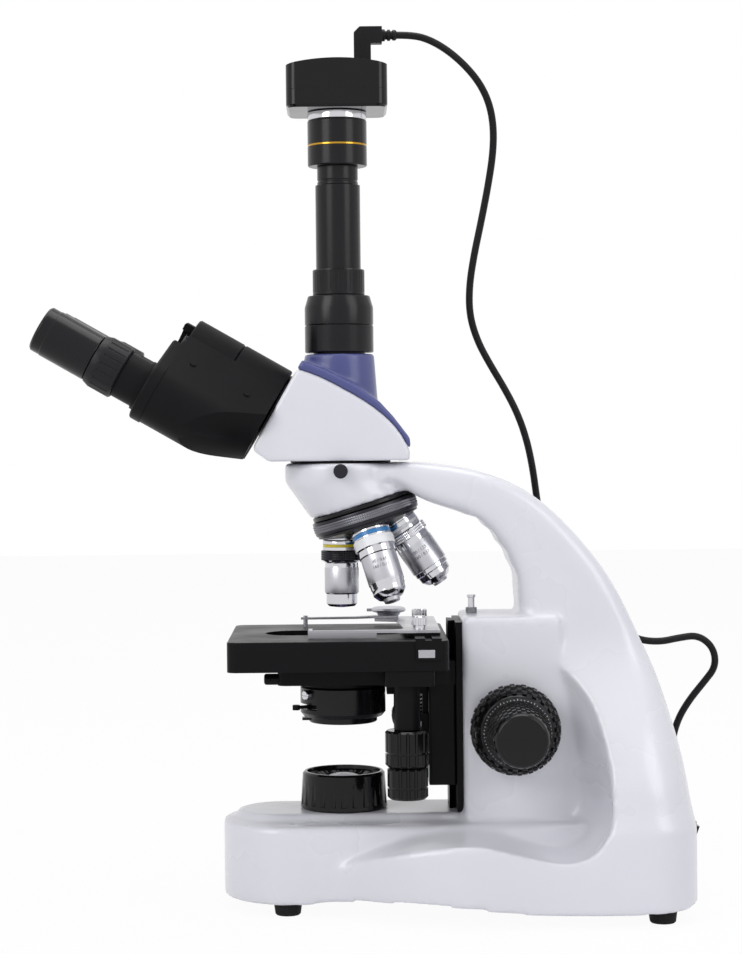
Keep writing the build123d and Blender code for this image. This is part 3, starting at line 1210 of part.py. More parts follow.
def camera_lower():
    """The lower shell, with the ring that screws onto the adapter."""
    body = camera_shape(CAMERA_LOW, SEAM, 0)
    body = chamfer(body.edges().group_by(Axis.Z)[0], 1.6)
    body -= camera_shape(CAMERA_LOW + 2.5, SEAM + 1, 2.5)
    body -= drilled(11, 0, 0, CAMERA_LOW - 1, CAMERA_LOW + 4)
    return Compound([body, camera_board()])


def camera_upper():
    """The upper shell, arched from side to side."""
    edge = CAMERA_HIGH - 3.8
    body = camera_shape(SEAM, CAMERA_HIGH + 1, 0)
    arch = Curve() + [
        ThreePointArc((-CAMERA_HALF - 1, edge), (0, CAMERA_HIGH), (CAMERA_HALF + 1, edge)),
        Polyline((CAMERA_HALF + 1, edge), (CAMERA_HALF + 1, SEAM - 1), (-CAMERA_HALF - 1, SEAM - 1),
                 (-CAMERA_HALF - 1, edge)),
    ]
    body &= extrude(Plane.XZ * make_face(arch), CAMERA_HALF + 1, both=True)
    body += drilled(6, CONNECTOR_X, 0, edge - 2, PLUG_SEAT)
    body -= camera_shape(SEAM - 1, edge - 3, 2.5)
    return body - drilled(1.9, CONNECTOR_X, 0, 490, 510)


def camera_board():
    low = CAMERA_LOW + 5
    board = block(-25, 25, -23, 23, low, low + 1.6)
    legs = [drilled(2, x, y, CAMERA_LOW + 2.5, low) for x in (-21, 21) for y in (-19, 19)]
    sensor = block(-6, 6, -5, 5, low - 1.5, low)
    socket = block(CONNECTOR_X - 4, CONNECTOR_X + 4, -4, 4, low + 1.6, low + 9)
    return board + legs + sensor + socket


def camera_plug():
    """The right-angled plug on top of the camera, with its ribbed strain relief."""
    upright = block(CONNECTOR_X - 5.1, CONNECTOR_X + 5.1, -4.2, 4.2, PLUG_SEAT, CABLE_Z + 5)
    lying = block(CONNECTOR_X - 5.1, 27.5, -4.2, 4.2, CABLE_Z - 5, CABLE_Z + 5)
    shape = upright + lying
    shape = chamfer(shape.edges().filter_by(Axis.Y).group_by(Axis.X)[0].sort_by(Axis.Z)[-1:], 3.5)
    relief = turned((0, 0), (3.6, 0), (3.6, 1.8), (2.6, 1.8), (2.6, 3.1), (3.4, 3.1), (3.4, 4.9),
                    (2.5, 4.9), (2.5, 6.2), (3.2, 6.2), (3.2, 8.0), (2.4, 8.9), (0, 8.9))
    shape += Pos(27.5, 0, CABLE_Z) * Rot(0, 90, 0) * relief
    return shape + drilled(1.85, CONNECTOR_X, 0, 489, PLUG_SEAT)


# Cable

CABLE_ROUTE = [
    (36.4, 0, 520.5), (46.5, 0, 520.5), (57, 1, 517.4), (67.9, 4, 511.2), (78.3, 9, 502.8),
    (87, 14, 493), (92.9, 19, 481.5), (95.6, 24, 468), (95.3, 28, 452), (92.3, 32, 432.8),
    (88.2, 35, 412), (83.6, 38, 391), (80.6, 41, 372), (80.7, 44, 354.5), (85.6, 47, 338.3),
    (93.7, 50, 323.4), (102.8, 53, 308.5), (110.6, 55, 293.4), (116.3, 58, 277.4),
    (120.2, 62, 260), (122.8, 66, 241.9), (125.5, 68.5, 223), (131, 69, 204), (140, 66, 186.5),
    (152.5, 60, 172), (167.5, 55, 160), (183.5, 53, 151.5), (197.5, 54, 149.8), (210, 55.5, 152.2),
    (222.2, 57.2, 153.6), (231.9, 59, 145.8), (233.7, 60.5, 133.6), (226.3, 62, 123.8),
    (217.6, 63.5, 113), (210.5, 65.5, 101), (207, 69, 87.5), (207.5, 74, 73), (209, 82, 55.5), (208.5, 91.5, 38.5), (205, 101, 22),
    (197.5, 109, 9.2), (185, 114.2, 2.6), (170, 116.2, 2.4),
]


def cable_radii(points, share=0.45):
    """The arc at each corner, as large as its two runs allow."""
    radii = []
    for before, here, after in zip(points, points[1:], points[2:]):
        come = Vector(*here) - Vector(*before)
        go = Vector(*after) - Vector(*here)
        half = radians(come.get_angle(go)) / 2
        radii.append(share * min(come.length, go.length) / tan(half))
    return radii


def usb_cable():
    radii = cable_radii(CABLE_ROUTE)
    path = FilletPolyline(*CABLE_ROUTE, radius=radii)
    start = Plane(origin=CABLE_ROUTE[0], z_dir=path % 0)
    tube = sweep(start * Circle(CABLE_RADIUS), path=path)
    print("cable length", round(path.length, 1), "tightest arc", round(min(radii), 1))
    print("cable volume ratio", round(tube.volume / (path.length * pi * CABLE_RADIUS ** 2), 4))
    return tube


def cable_coil():
    x, y = COIL_CENTRE
    body = turned((COIL_MEAN - COIL_HALF + 1, 0.1), (COIL_MEAN + COIL_HALF - 1, 0.1),
                  (COIL_MEAN + COIL_HALF, 1.6), (COIL_MEAN + COIL_HALF, COIL_HIGH - 2.2),
                  (COIL_MEAN + COIL_HALF - 2.2, COIL_HIGH), (COIL_MEAN - COIL_HALF + 2.2, COIL_HIGH),
                  (COIL_MEAN - COIL_HALF, COIL_HIGH - 2.2), (COIL_MEAN - COIL_HALF, 1.6))
    return Compound([Pos(x, y, 0) * body, cable_tie()])


def cable_tie():
    x, y = COIL_CENTRE
    reach = COIL_HALF + 1.5
    band = block(-reach, reach, -2.5, 2.5, 0.02, COIL_HIGH + 1.2)
    band = fillet(band.edges().filter_by(Axis.Y), 1.5)
    hole = block(-COIL_HALF - 0.3, COIL_HALF + 0.3, -3, 3, 0.1, COIL_HIGH + 0.2)
    return Pos(x, y + COIL_MEAN, 0) * Rot(0, 0, 90) * (band - hole)


def usb_plug():
    """The flat plug at the cable's far end, lying beside the coil."""
    x, y = COIL_CENTRE
    grip = block(0, 26, -7.8, 7.8, 0, 8)
    grip = fillet(grip.edges().filter_by(Axis.X), 2)
    shell = block(26, 44, -6, 6, 1.8, 6.3) - block(28, 45, -5.4, 5.4, 2.3, 5.8)
    insert = block(28, 42, -5.4, 5.4, 2.3, 3.9)
    neck = Pos(-5, 0, 4) * Rot(0, 90, 0) * Cone(2.4, 3.4, 10)
    lead = Pos(-10 - LEAD_OUT / 2, 0, 4) * Rot(0, 90, 0) * Cylinder(CABLE_RADIUS, LEAD_OUT)
    near = x - 8 - LEAD_OUT
    beside = y - COIL_MEAN - COIL_HALF - CABLE_RADIUS - 0.05
    return Pos(near, beside, 0.05) * Rot(0, 0, 180) * (grip + shell + insert + neck + lead)


def limit_nut():
    body = fluted(ring(2 + RUN, 3.4, BLOCK_TOP + 0.1, BLOCK_TOP + 3.4, 0.3), 12, 0.5, 3.6, 100, 300)
    return Pos(STOP_X, 0, 0) * body


def head_lock_screw():
    """The knurled screw that clamps the head, on the user's right."""
    lie = Plane(origin=(0, -HEAD_RADIUS, HEAD_TOP - 4.5), x_dir=(1, 0, 0), z_dir=(0, -1, 0))
    shank = drilled(2, 0, 0, -10.5, 1)
    knob = fluted(ring(0, 4.2, 0.6, 7.5, 0.5), 16, 0.5, 4.45, 1.2, 7.0)
    return lie * (shank + knob)


def pieces():
    """Every node's name with its shape, drawn about the optical axis."""
    parts = {
        "stand_casting": stand_casting(),
        "bottom_cover": bottom_cover(),
        "rubber_feet": rubber_feet(),
        "collector_ring": collector_ring(),
        "field_lens": field_lens(),
        "lamp_unit": lamp_unit(),
        "power_board": power_board(),
        "rear_sockets": rear_sockets(),
        "switch_rocker": switch_rocker(),
        "brightness_dial": brightness_dial(),
        "guide_rail": guide_rail(),
        "focus_bushes": focus_bushes(),
        "limit_nut": limit_nut(),
        "coarse_knobs": coarse_knobs(),
        "scale_rings": scale_rings(),
        "fine_knobs": fine_knobs(),
        "tension_collar": tension_collar(),
        "stage_bracket": stage_bracket(),
        "stage_bed": stage_bed(),
        "stage_plate": stage_plate(),
        "cross_guide": cross_guide(),
        "slide_holder": slide_holder(),
        "holder_finger": holder_finger(),
        "coax_housing": coax_housing(),
        "fore_aft_knob": fore_aft_knob(),
        "cross_knob": cross_knob(),
        "condenser_carrier": condenser_carrier(),
        "condenser_body": condenser_body(),
        "condenser_lens": condenser_lens(),
        "iris_lever": iris_lever(),
        "filter_holder": filter_holder(),
        "condenser_knob": condenser_knob(),
        "nosepiece_mount": nosepiece_mount(),
        "nosepiece_turret": nosepiece_turret(),
        "objective_4x": objective(1, POWER_4, BAND_4),
        "objective_10x": objective(0, POWER_10, BAND_10),
        "objective_40x": objective(3, POWER_40, BAND_40),
        "objective_100x": objective(2, POWER_100, BAND_100),
        "head_dovetail": head_dovetail(),
        "head_housing": head_housing(),
        "head_cover": head_cover(),
        "head_prism": head_prism(),
        "tube_bracket": tube_bracket(),
        "right_box": eyepiece_box(1),
        "left_box": eyepiece_box(-1),
        "right_diopter": diopter_ring(1),
        "left_diopter": diopter_ring(-1),
        "right_eyepiece": eyepiece(1),
        "left_eyepiece": eyepiece(-1),
        "head_lock_screw": head_lock_screw(),
        "photo_port": photo_port(),
        "lock_collar": lock_collar(),
        "photo_tube": photo_tube(),
        "camera_adapter": camera_adapter(),
        "camera_lower": camera_lower(),
        "camera_upper": camera_upper(),
        "camera_plug": camera_plug(),
        "usb_cable": usb_cable(),
        "cable_coil": cable_coil(),
        "usb_plug": usb_plug(),
    }
    return parts


def write(parts):
    os.makedirs("parts", exist_ok=True)
    for name, shape in parts.items():
        export_step(Pos(-ORIGIN_X, 0, 0) * shape, f"parts/{name}.step")


if __name__ == "__main__":
    write(pieces())
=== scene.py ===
import json
import math

import bmesh
import bpy
from mathutils import Matrix, Vector
from mathutils.bvhtree import BVHTree
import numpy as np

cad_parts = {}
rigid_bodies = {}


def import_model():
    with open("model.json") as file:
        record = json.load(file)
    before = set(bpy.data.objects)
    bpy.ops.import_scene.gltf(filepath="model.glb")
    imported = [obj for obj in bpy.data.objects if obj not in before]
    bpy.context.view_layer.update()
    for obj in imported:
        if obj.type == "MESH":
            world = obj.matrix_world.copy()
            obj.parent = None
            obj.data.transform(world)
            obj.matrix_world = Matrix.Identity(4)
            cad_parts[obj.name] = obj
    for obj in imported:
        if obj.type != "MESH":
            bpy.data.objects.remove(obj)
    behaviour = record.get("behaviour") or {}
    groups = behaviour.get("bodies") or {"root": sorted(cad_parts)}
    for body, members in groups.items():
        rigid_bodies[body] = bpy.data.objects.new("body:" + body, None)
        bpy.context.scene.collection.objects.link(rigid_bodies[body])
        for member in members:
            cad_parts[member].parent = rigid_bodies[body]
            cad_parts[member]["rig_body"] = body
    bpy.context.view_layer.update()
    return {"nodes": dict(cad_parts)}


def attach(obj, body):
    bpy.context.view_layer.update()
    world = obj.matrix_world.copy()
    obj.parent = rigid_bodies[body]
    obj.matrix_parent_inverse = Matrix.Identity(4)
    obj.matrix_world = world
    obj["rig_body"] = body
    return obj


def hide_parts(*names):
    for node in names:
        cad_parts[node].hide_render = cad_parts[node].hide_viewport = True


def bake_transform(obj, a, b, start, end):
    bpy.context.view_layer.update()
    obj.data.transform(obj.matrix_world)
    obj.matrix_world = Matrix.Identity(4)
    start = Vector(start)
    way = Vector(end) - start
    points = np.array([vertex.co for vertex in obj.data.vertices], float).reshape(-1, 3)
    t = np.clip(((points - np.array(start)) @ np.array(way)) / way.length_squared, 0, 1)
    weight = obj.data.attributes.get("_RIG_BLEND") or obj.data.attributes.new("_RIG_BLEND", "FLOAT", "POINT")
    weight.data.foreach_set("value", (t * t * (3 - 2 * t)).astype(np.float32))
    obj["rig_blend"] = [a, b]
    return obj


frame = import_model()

# Laboratory microscope with a camera on its photo tube.
# Lengths below are in millimetres about the optical axis, which stands 13 mm in front of the origin.
opticalAxis = -13.0
mm = 0.001
scene = bpy.context.scene
scene.view_settings.view_transform = "Standard"
nodes = frame["nodes"]


def atPoint(x, y, z):
    return Vector(((x + opticalAxis) * mm, y * mm, z * mm))


def localFrame(origin, xAxis, zAxis):
    # a place with its own axes, for pieces drawn about their own middle line in millimetres
    z = Vector(zAxis).normalized()
    x = Vector(xAxis).normalized()
    y = z.cross(x)
    turn = Matrix((x, y, z)).transposed().to_4x4()
    return Matrix.Translation(atPoint(*origin)) @ turn @ Matrix.Scale(mm, 4)


# Camera first: level at mid height, long lens, from the user's right
cameraSettings = {"place": (-0.0125, -1.4, 0.284), "roll": 0.605, "lens": 88.04,
                  "shift": (0.03145, -0.0493)}


def addCamera():
    data = bpy.data.cameras.new("photoCamera")
    data.lens = cameraSettings["lens"]
    data.shift_x, data.shift_y = cameraSettings["shift"]
    data.clip_start = 0.05
    eye = bpy.data.objects.new("photoCamera", data)
    scene.collection.objects.link(eye)
    eye.location = cameraSettings["place"]
    eye.rotation_euler = (math.radians(90), math.radians(cameraSettings["roll"]), 0)
    scene.camera = eye


addCamera()
print("camera placed")

# Materials


def toLinear(hexColour):
    parts = [int(hexColour[i:i + 2], 16) / 255 for i in (1, 3, 5)]
    return tuple(c / 12.92 if c <= 0.04045 else ((c + 0.055) / 1.055) ** 2.4 for c in parts) + (1.0,)


def addNode(tree, kind, settings=None, links=None):
    node = tree.nodes.new(kind)
    for key, value in (settings or {}).items():
        if isinstance(key, str) and hasattr(node, key):
            setattr(node, key, value)
        else:
            node.inputs[key].default_value = value
    for key, socket in (links or {}).items():
        tree.links.new(socket, node.inputs[key])
    return node


def perMetre(size):
    # how often a pattern of that many millimetres repeats in a metre
    return 1000.0 / size


def makeFinish(name, look):
    material = bpy.data.materials.new(name)
    material.use_nodes = True
    tree = material.node_tree
    shader = tree.nodes["Principled BSDF"]
    for socket, value in look.get("shader", {}).items():
        shader.inputs[socket].default_value = value
    place = addNode(tree, "ShaderNodeTexCoord").outputs["Object"]
    if "stretch" in look:
        place = addNode(tree, "ShaderNodeMapping", {"Scale": look["stretch"]},
                        {"Vector": place}).outputs["Vector"]
    broad = addNode(tree, "ShaderNodeTexNoise", {"Scale": perMetre(look.get("patch", 30)), "Detail": 3.0},
                    {"Vector": place})
    fine = addNode(tree, "ShaderNodeTexNoise", {"Scale": perMetre(look["grain"]), "Detail": 2.0},
                   {"Vector": place})
    tint = addNode(tree, "ShaderNodeMix", {"data_type": "RGBA", 6: toLinear(look["colour"]),
                                           7: toLinear(look["second"])}, {0: broad.outputs["Fac"]})
    rough = addNode(tree, "ShaderNodeMapRange", {"From Min": 0.3, "From Max": 0.7,
                                                 "To Min": look["rough"][0], "To Max": look["rough"][1]},
                    {"Value": broad.outputs["Fac"]})
    relief = addNode(tree, "ShaderNodeBump", {"Strength": look.get("strength", 0.3),
                                              "Distance": look["relief"] * mm},
                     {"Height": fine.outputs["Fac"]})
    tree.links.new(tint.outputs[2], shader.inputs["Base Color"])
    tree.links.new(rough.outputs["Result"], shader.inputs["Roughness"])
    tree.links.new(relief.outputs["Normal"], shader.inputs["Normal"])
    return material


# The blacks have a low specular level, because the pale room would turn them grey
finishes = {
    # stoving enamel sprayed on a sand casting: white, glossy, with a faint orange peel
    "sprayedEnamelWhite": {"colour": "#E4E4EA", "second": "#DCDCE4", "rough": (0.24, 0.34), "grain": 1.8,
                           "relief": 0.05, "strength": 0.25, "patch": 60,
                           "shader": {"IOR": 1.5, "Coat Weight": 0.25, "Coat Roughness": 0.12}},
    # satin lacquer on the moulded cover: blue-violet with an even sheen
    "satinLacquerBlue": {"colour": "#4A5089", "second": "#434880", "rough": (0.3, 0.4), "grain": 0.9,
                         "relief": 0.04, "patch": 40, "shader": {"IOR": 1.5, "Coat Weight": 0.2,
                                                                 "Coat Roughness": 0.2}},
    # crackle paint on the cast eyepiece boxes: near black, dull, fine grains
    "cracklePaintBlack": {"colour": "#121113", "second": "#19181A", "rough": (0.38, 0.52), "grain": 0.7,
                          "relief": 0.08, "patch": 25, "shader": {"IOR": 1.5, "Specular IOR Level": 0.08}},
    # satin paint on the stage's castings
    "satinPaintBlack": {"colour": "#0E0D0F", "second": "#141315", "rough": (0.3, 0.42), "grain": 0.9,
                        "relief": 0.04, "patch": 30, "shader": {"IOR": 1.5, "Specular IOR Level": 0.09}},
    # black anodised aluminium, turned: a soft sheen with fine rings from the tool
    "anodisedTurnedBlack": {"colour": "#0D0D10", "second": "#131317", "rough": (0.2, 0.3), "grain": 0.6,
                            "relief": 0.02, "stretch": (0.03, 0.03, 1.0), "patch": 20,
                            "shader": {"IOR": 1.5, "Specular IOR Level": 0.2, "Coat Weight": 0.1,
                                       "Coat Roughness": 0.18}},
    # polished moulded ABS: mirror-black knobs, lamp collar and camera
    "polishedAbsBlack": {"colour": "#0A0A0B", "second": "#0E0E10", "rough": (0.1, 0.18), "grain": 2.5,
                         "relief": 0.015, "patch": 25, "shader": {"IOR": 1.54, "Specular IOR Level": 0.22}},
    # moulded ABS as it leaves the tool: charcoal with a low sheen
    "mouldedAbsCharcoal": {"colour": "#18181A", "second": "#1F1F22", "rough": (0.34, 0.46), "grain": 0.5,
                           "relief": 0.04, "patch": 20, "shader": {"IOR": 1.54, "Specular IOR Level": 0.16}},
    # baked lacquer rubbed smooth on the stage's top: brown-black and wet looking. The plate's sides take the
    # darker, duller satin black instead, as painted shade that keeps them from reflecting the pale room
    "bakedLacquerStage": {"colour": "#1A1314", "second": "#201819", "rough": (0.14, 0.22), "grain": 1.5,
                          "relief": 0.01, "patch": 45,
                          "shader": {"IOR": 1.55, "Specular IOR Level": 0.35, "Coat Weight": 0.2,
                                     "Coat Roughness": 0.08}},
    # chrome plate, polished
    "polishedChrome": {"colour": "#D6D6DA", "second": "#C9C9CE", "rough": (0.08, 0.16), "grain": 1.2,
                       "relief": 0.01, "patch": 15, "shader": {"Metallic": 1.0}},
    # satin chrome of objective barrels, beaded before plating
    "beadedChrome": {"colour": "#C4C4C9", "second": "#B9B9BF", "rough": (0.3, 0.4), "grain": 0.35,
                     "relief": 0.02, "patch": 12, "shader": {"Metallic": 1.0}},
    # brushed steel, grain along X
    "brushedSteel": {"colour": "#B5B5BA", "second": "#A6A6AC", "rough": (0.22, 0.34), "grain": 0.5,
                     "relief": 0.02, "stretch": (0.05, 1.0, 1.0), "patch": 15,
                     "shader": {"Metallic": 1.0}},
    # blackened steel
    "blackenedSteel": {"colour": "#3A3A3E", "second": "#2E2E32", "rough": (0.25, 0.36), "grain": 0.5,
                       "relief": 0.02, "patch": 10, "shader": {"Metallic": 1.0}},
    # steel, knurled and phosphated: mid grey that catches light on each point
    "knurledSteelGrey": {"colour": "#77777D", "second": "#6B6B71", "rough": (0.28, 0.4), "grain": 0.6,
                         "relief": 0.01, "patch": 8, "shader": {"Metallic": 1.0}},
    # zinc-plated sheet
    "zincPlatedSheet": {"colour": "#8E9094", "second": "#7E8085", "rough": (0.3, 0.45), "grain": 1.0,
                        "relief": 0.02, "patch": 8, "shader": {"Metallic": 1.0}},
    # brass, lacquered
    "lacqueredBrass": {"colour": "#C79A3A", "second": "#B88B30", "rough": (0.16, 0.26), "grain": 0.6,
                       "relief": 0.01, "patch": 8, "shader": {"Metallic": 1.0}},
    # moulded rubber
    "mouldedRubberBlack": {"colour": "#1B1B1C", "second": "#232324", "rough": (0.65, 0.8), "grain": 0.6,
                           "relief": 0.06, "patch": 10, "shader": {"IOR": 1.5, "Specular IOR Level": 0.15}},
    # extruded PVC cable jacket
    "extrudedPvcBlack": {"colour": "#151517", "second": "#1B1B1D", "rough": (0.36, 0.48), "grain": 0.8,
                         "relief": 0.03, "patch": 12, "shader": {"IOR": 1.52, "Specular IOR Level": 0.15}},
    # coated optical glass
    "coatedGlass": {"colour": "#D9D6F0", "second": "#CFD9EE", "rough": (0.01, 0.03), "grain": 5,
                    "relief": 0.001, "patch": 20, "shader": {"IOR": 1.52, "Transmission Weight": 0.92,
                                                             "Coat Weight": 0.6,
                                                             "Coat Tint": toLinear("#B9A6F2")}},
    # ground glass of the field lens: milky
    "groundGlass": {"colour": "#D5D2DC", "second": "#CBC8D4", "rough": (0.2, 0.3), "grain": 0.4,
                    "relief": 0.01, "patch": 12, "shader": {"IOR": 1.52, "Transmission Weight": 0.35}},
    # epoxy board with solder mask
    "solderMaskGreen": {"colour": "#1D5B36", "second": "#17502E", "rough": (0.3, 0.4), "grain": 1.5,
                        "relief": 0.02, "patch": 5, "shader": {"IOR": 1.5}},
    # fired enamel rings of the objectives
    "firedEnamelYellow": {"colour": "#D9C52A", "second": "#D2BC20", "rough": (0.18, 0.28), "grain": 1,
                          "relief": 0.01, "patch": 6, "shader": {"IOR": 1.5}},
    "firedEnamelBlue": {"colour": "#2F80BE", "second": "#2877B4", "rough": (0.18, 0.28), "grain": 1,
                        "relief": 0.01, "patch": 6, "shader": {"IOR": 1.5}},
    "firedEnamelRed": {"colour": "#B8242A", "second": "#AB1E24", "rough": (0.18, 0.28), "grain": 1,
                       "relief": 0.01, "patch": 6, "shader": {"IOR": 1.5}},
    "firedEnamelWhite": {"colour": "#F0F0F2", "second": "#E9E9EC", "rough": (0.25, 0.35), "grain": 1,
                         "relief": 0.01, "patch": 6, "shader": {"IOR": 1.5}},
    # printed ink of scales and numbers
    "printedInkWhite": {"colour": "#E2E2E4", "second": "#D6D6D9", "rough": (0.45, 0.55), "grain": 0.5,
                        "relief": 0.01, "patch": 4, "shader": {"IOR": 1.5}},
    "printedInkDark": {"colour": "#2A2A2E", "second": "#303034", "rough": (0.45, 0.55), "grain": 0.5,
                       "relief": 0.01, "patch": 4, "shader": {"IOR": 1.5}},
}
finish = {name: makeFinish(name, look) for name, look in finishes.items()}
print("materials made:", len(finish))

# Tools shared by the pieces. Vertices within the weld become one (in metres, for turned pieces in
# millimetres), and faces within the flat angle become one plane.
toolSettings = {"weld": 2e-6, "turnedWeld": 1e-4, "flat": math.radians(0.6),
                "bevelFrom": math.radians(40), "layBack": 3}


def addPiece(name, bm, finishNames, body, replaced=()):
    # turns a bmesh into a finished object that rides on its body
    mesh = bpy.data.meshes.new(name)
    bm.to_mesh(mesh)
    bm.free()
    for layer in [a.name for a in mesh.attributes if a.name in ("custom_normal", "UVMap")]:
        mesh.attributes.remove(mesh.attributes[layer])
    for label in finishNames:
        mesh.materials.append(finish[label])
    piece = bpy.data.objects.new(name, mesh)
    scene.collection.objects.link(piece)
    if body:
        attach(piece, body)
    if replaced:
        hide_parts(*replaced)
    return piece


def markEdges(bm, degrees=32):
    limit = math.radians(degrees)
    for face in bm.faces:
        face.smooth = True
    for edge in bm.edges:
        edge.smooth = len(edge.link_faces) == 2 and edge.calc_face_angle(0.0) < limit


def pieceName(nodeName):
    first, *rest = nodeName.split("_")
    return first + "".join(part.capitalize() for part in rest)


def bodyOf(nodeName):
    return nodes[nodeName]["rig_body"]


def mergedCopy(nodeName):
    bm = bmesh.new()
    bm.from_mesh(nodes[nodeName].data)
    bmesh.ops.remove_doubles(bm, verts=bm.verts, dist=toolSettings["weld"])
    return bm


def takeMesh(maker):
    # the finished mesh of a helper object, which then goes
    shape = bpy.data.meshes.new_from_object(maker.evaluated_get(bpy.context.evaluated_depsgraph_get()))
    bpy.data.objects.remove(maker)
    return shape


def softEdges(piece, width):
    bevel = piece.modifiers.new("softEdges", "BEVEL")
    bevel.width = width * mm
    bevel.segments = 2
    bevel.limit_method = "ANGLE"
    bevel.angle_limit = toolSettings["bevelFrom"]
    bevel.harden_normals = False
    bevel.miter_outer = "MITER_ARC"
    even = piece.modifiers.new("evenShade", "WEIGHTED_NORMAL")
    even.keep_sharp = True


def refine(nodeName, finishNames, choose=None, edge=0.25):
    # a merged copy of a node, with soft edges and a finish for each of its regions
    bm = mergedCopy(nodeName)
    bmesh.ops.dissolve_limit(bm, angle_limit=toolSettings["flat"], verts=bm.verts, edges=bm.edges)
    if choose:
        for face in bm.faces:
            middle = face.calc_center_median() / mm
            face.material_index = choose(middle.x - opticalAxis, middle.y, middle.z)
    markEdges(bm)
    piece = addPiece(pieceName(nodeName), bm, finishNames, bodyOf(nodeName), [nodeName])
    if edge:
        softEdges(piece, edge)
    return piece


def softCasting(nodeName, finishName, voxel, rounds):
    # a cast or moulded shell: remeshed evenly, laid back on the solid, then its edges relaxed
    bm = mergedCopy(nodeName)
    source = BVHTree.FromBMesh(bm)
    name = pieceName(nodeName)
    rough = addPiece(name + "Rough", bm, [finishName], None)
    remesh = rough.modifiers.new("even", "REMESH")
    remesh.mode = "VOXEL"
    remesh.voxel_size = voxel * mm
    bm = bmesh.new()
    bm.from_mesh(takeMesh(rough))
    for vertex in bm.verts:
        found = source.find_nearest(vertex.co, toolSettings["layBack"] * voxel * mm)
        if found[0]:
            vertex.co = found[0]
    for _ in range(rounds):
        bmesh.ops.smooth_vert(bm, verts=bm.verts, factor=0.5, use_axis_x=True, use_axis_y=True,
                              use_axis_z=True)
    for face in bm.faces:
        face.smooth = True
    return addPiece(name, bm, [finishName], bodyOf(nodeName), [nodeName])


# Cable: down behind the arm, across the bench to a flat coil, and out to its plug
cableSettings = {"radius": 2.2, "coilMiddle": (150.0, 141.0), "outer": 30.0, "inner": 18.6,
                 "low": 2.3, "high": 6.9, "layerTurns": 2.5, "pointsPerTurn": 16, "weld": 1e-6,
                 "crease": 50}
cableRoute = [
    (36.4, 0, 520.5), (46.5, 0, 520.5), (57, 1, 517.4), (67.9, 4, 511.2), (78.3, 9, 502.8),
    (87, 14, 493), (92.9, 19, 481.5), (95.6, 24, 468), (95.3, 28, 452), (92.3, 32, 432.8),
    (88.2, 35, 412), (83.6, 38, 391), (80.6, 41, 372), (80.7, 44, 354.5), (85.6, 47, 338.3),
    (93.7, 50, 323.4), (102.8, 53, 308.5), (110.6, 55, 293.4), (116.3, 58, 277.4),
    (120.2, 62, 260), (122.8, 66, 241.9), (125.5, 68.5, 223), (131, 69, 204), (140, 66, 186.5),
    (152.5, 60, 172), (167.5, 55, 160), (183.5, 53, 151.5), (197.5, 54, 149.8), (210, 55.5, 152.2),
    (222.2, 57.2, 153.6), (231.9, 59, 145.8), (233.7, 60.5, 133.6), (226.3, 62, 123.8),
    (217.6, 63.5, 113), (210.5, 65.5, 101), (207, 69, 87.5), (207.5, 74, 73), (209, 82, 55.5),
    (208.5, 91.5, 38.5), (205, 101, 22), (197.5, 108, 9.2), (185, 110.8, 2.6), (168, 111, 2.4),
]
cableEnd = [(144, 110.2, 6.9), (138, 109.6, 6.2), (132, 109.3, 4.7), (127, 109.2, 4.05), (119, 109.2, 4.05)]


def coilPoints():
    # two flat layers: inwards on the bench, then outwards on top of it
    s = cableSettings
    points = []
    count = int(s["layerTurns"] * s["pointsPerTurn"])
    for layer in (0, 1):
        for step in range(count + 1):
            share = step / count
            if layer and step < 2:
                continue
            radius = s["outer"] + (s["inner"] - s["outer"]) * (share if layer == 0 else 1 - share)
            angle = math.radians(-90 - 360 * (share + layer) * s["layerTurns"])
            height = s["low"] if layer == 0 else s["high"]
            points.append((s["coilMiddle"][0] + radius * math.cos(angle),
                           s["coilMiddle"][1] + radius * math.sin(angle), height))
    return points


def cableCurve(points, radius):
    data = bpy.data.curves.new("cableLine", "CURVE")
    data.dimensions = "3D"
    spline = data.splines.new("NURBS")
    spline.points.add(len(points) - 1)
    for point, place in zip(spline.points, points):
        point.co = (*atPoint(*place), 1.0)
    spline.order_u = 3
    spline.use_endpoint_u = True
    spline.resolution_u = 6
    data.resolution_u = 6
    data.bevel_depth = radius * mm
    data.bevel_resolution = 4
    data.use_fill_caps = True
    line = bpy.data.objects.new("cableLine", data)
    scene.collection.objects.link(line)
    return takeMesh(line)


def buildCable():
    points = cableRoute + coilPoints() + cableEnd
    line = [tuple(v.co) for v in cableCurve(points, 0.0).vertices]
    bm = bmesh.new()
    bm.from_mesh(cableCurve(points, cableSettings["radius"]))
    bmesh.ops.remove_doubles(bm, verts=bm.verts, dist=cableSettings["weld"])
    markEdges(bm, cableSettings["crease"])
    cable = addPiece("usbCable", bm, ["extrudedPvcBlack"], None,
                     ["usb_cable", "cable_coil"])
    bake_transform(cable, "head", "stand", start=atPoint(95, 0, 500), end=atPoint(95, 0, 360))
    length = sum((Vector(a) - Vector(b)).length for a, b in zip(line, line[1:]))
    print("cable length", round(length, 3))
    return cable, line, length


usbCable, usbLine, usbLength = buildCable()
print("cable laid")

# Castings, each with its voxel in millimetres and its rounds of smoothing
softCasting("stand_casting", "sprayedEnamelWhite", 2.0, 5)
softCasting("head_housing", "sprayedEnamelWhite", 1.2, 5)
softCasting("head_cover", "satinLacquerBlue", 1.2, 4)
print("castings softened")

# Turned pieces: a half outline of (radius, height) spun about its own middle line. Edges above the
# crease, in degrees, stay sharp.
turnedCrease = 34


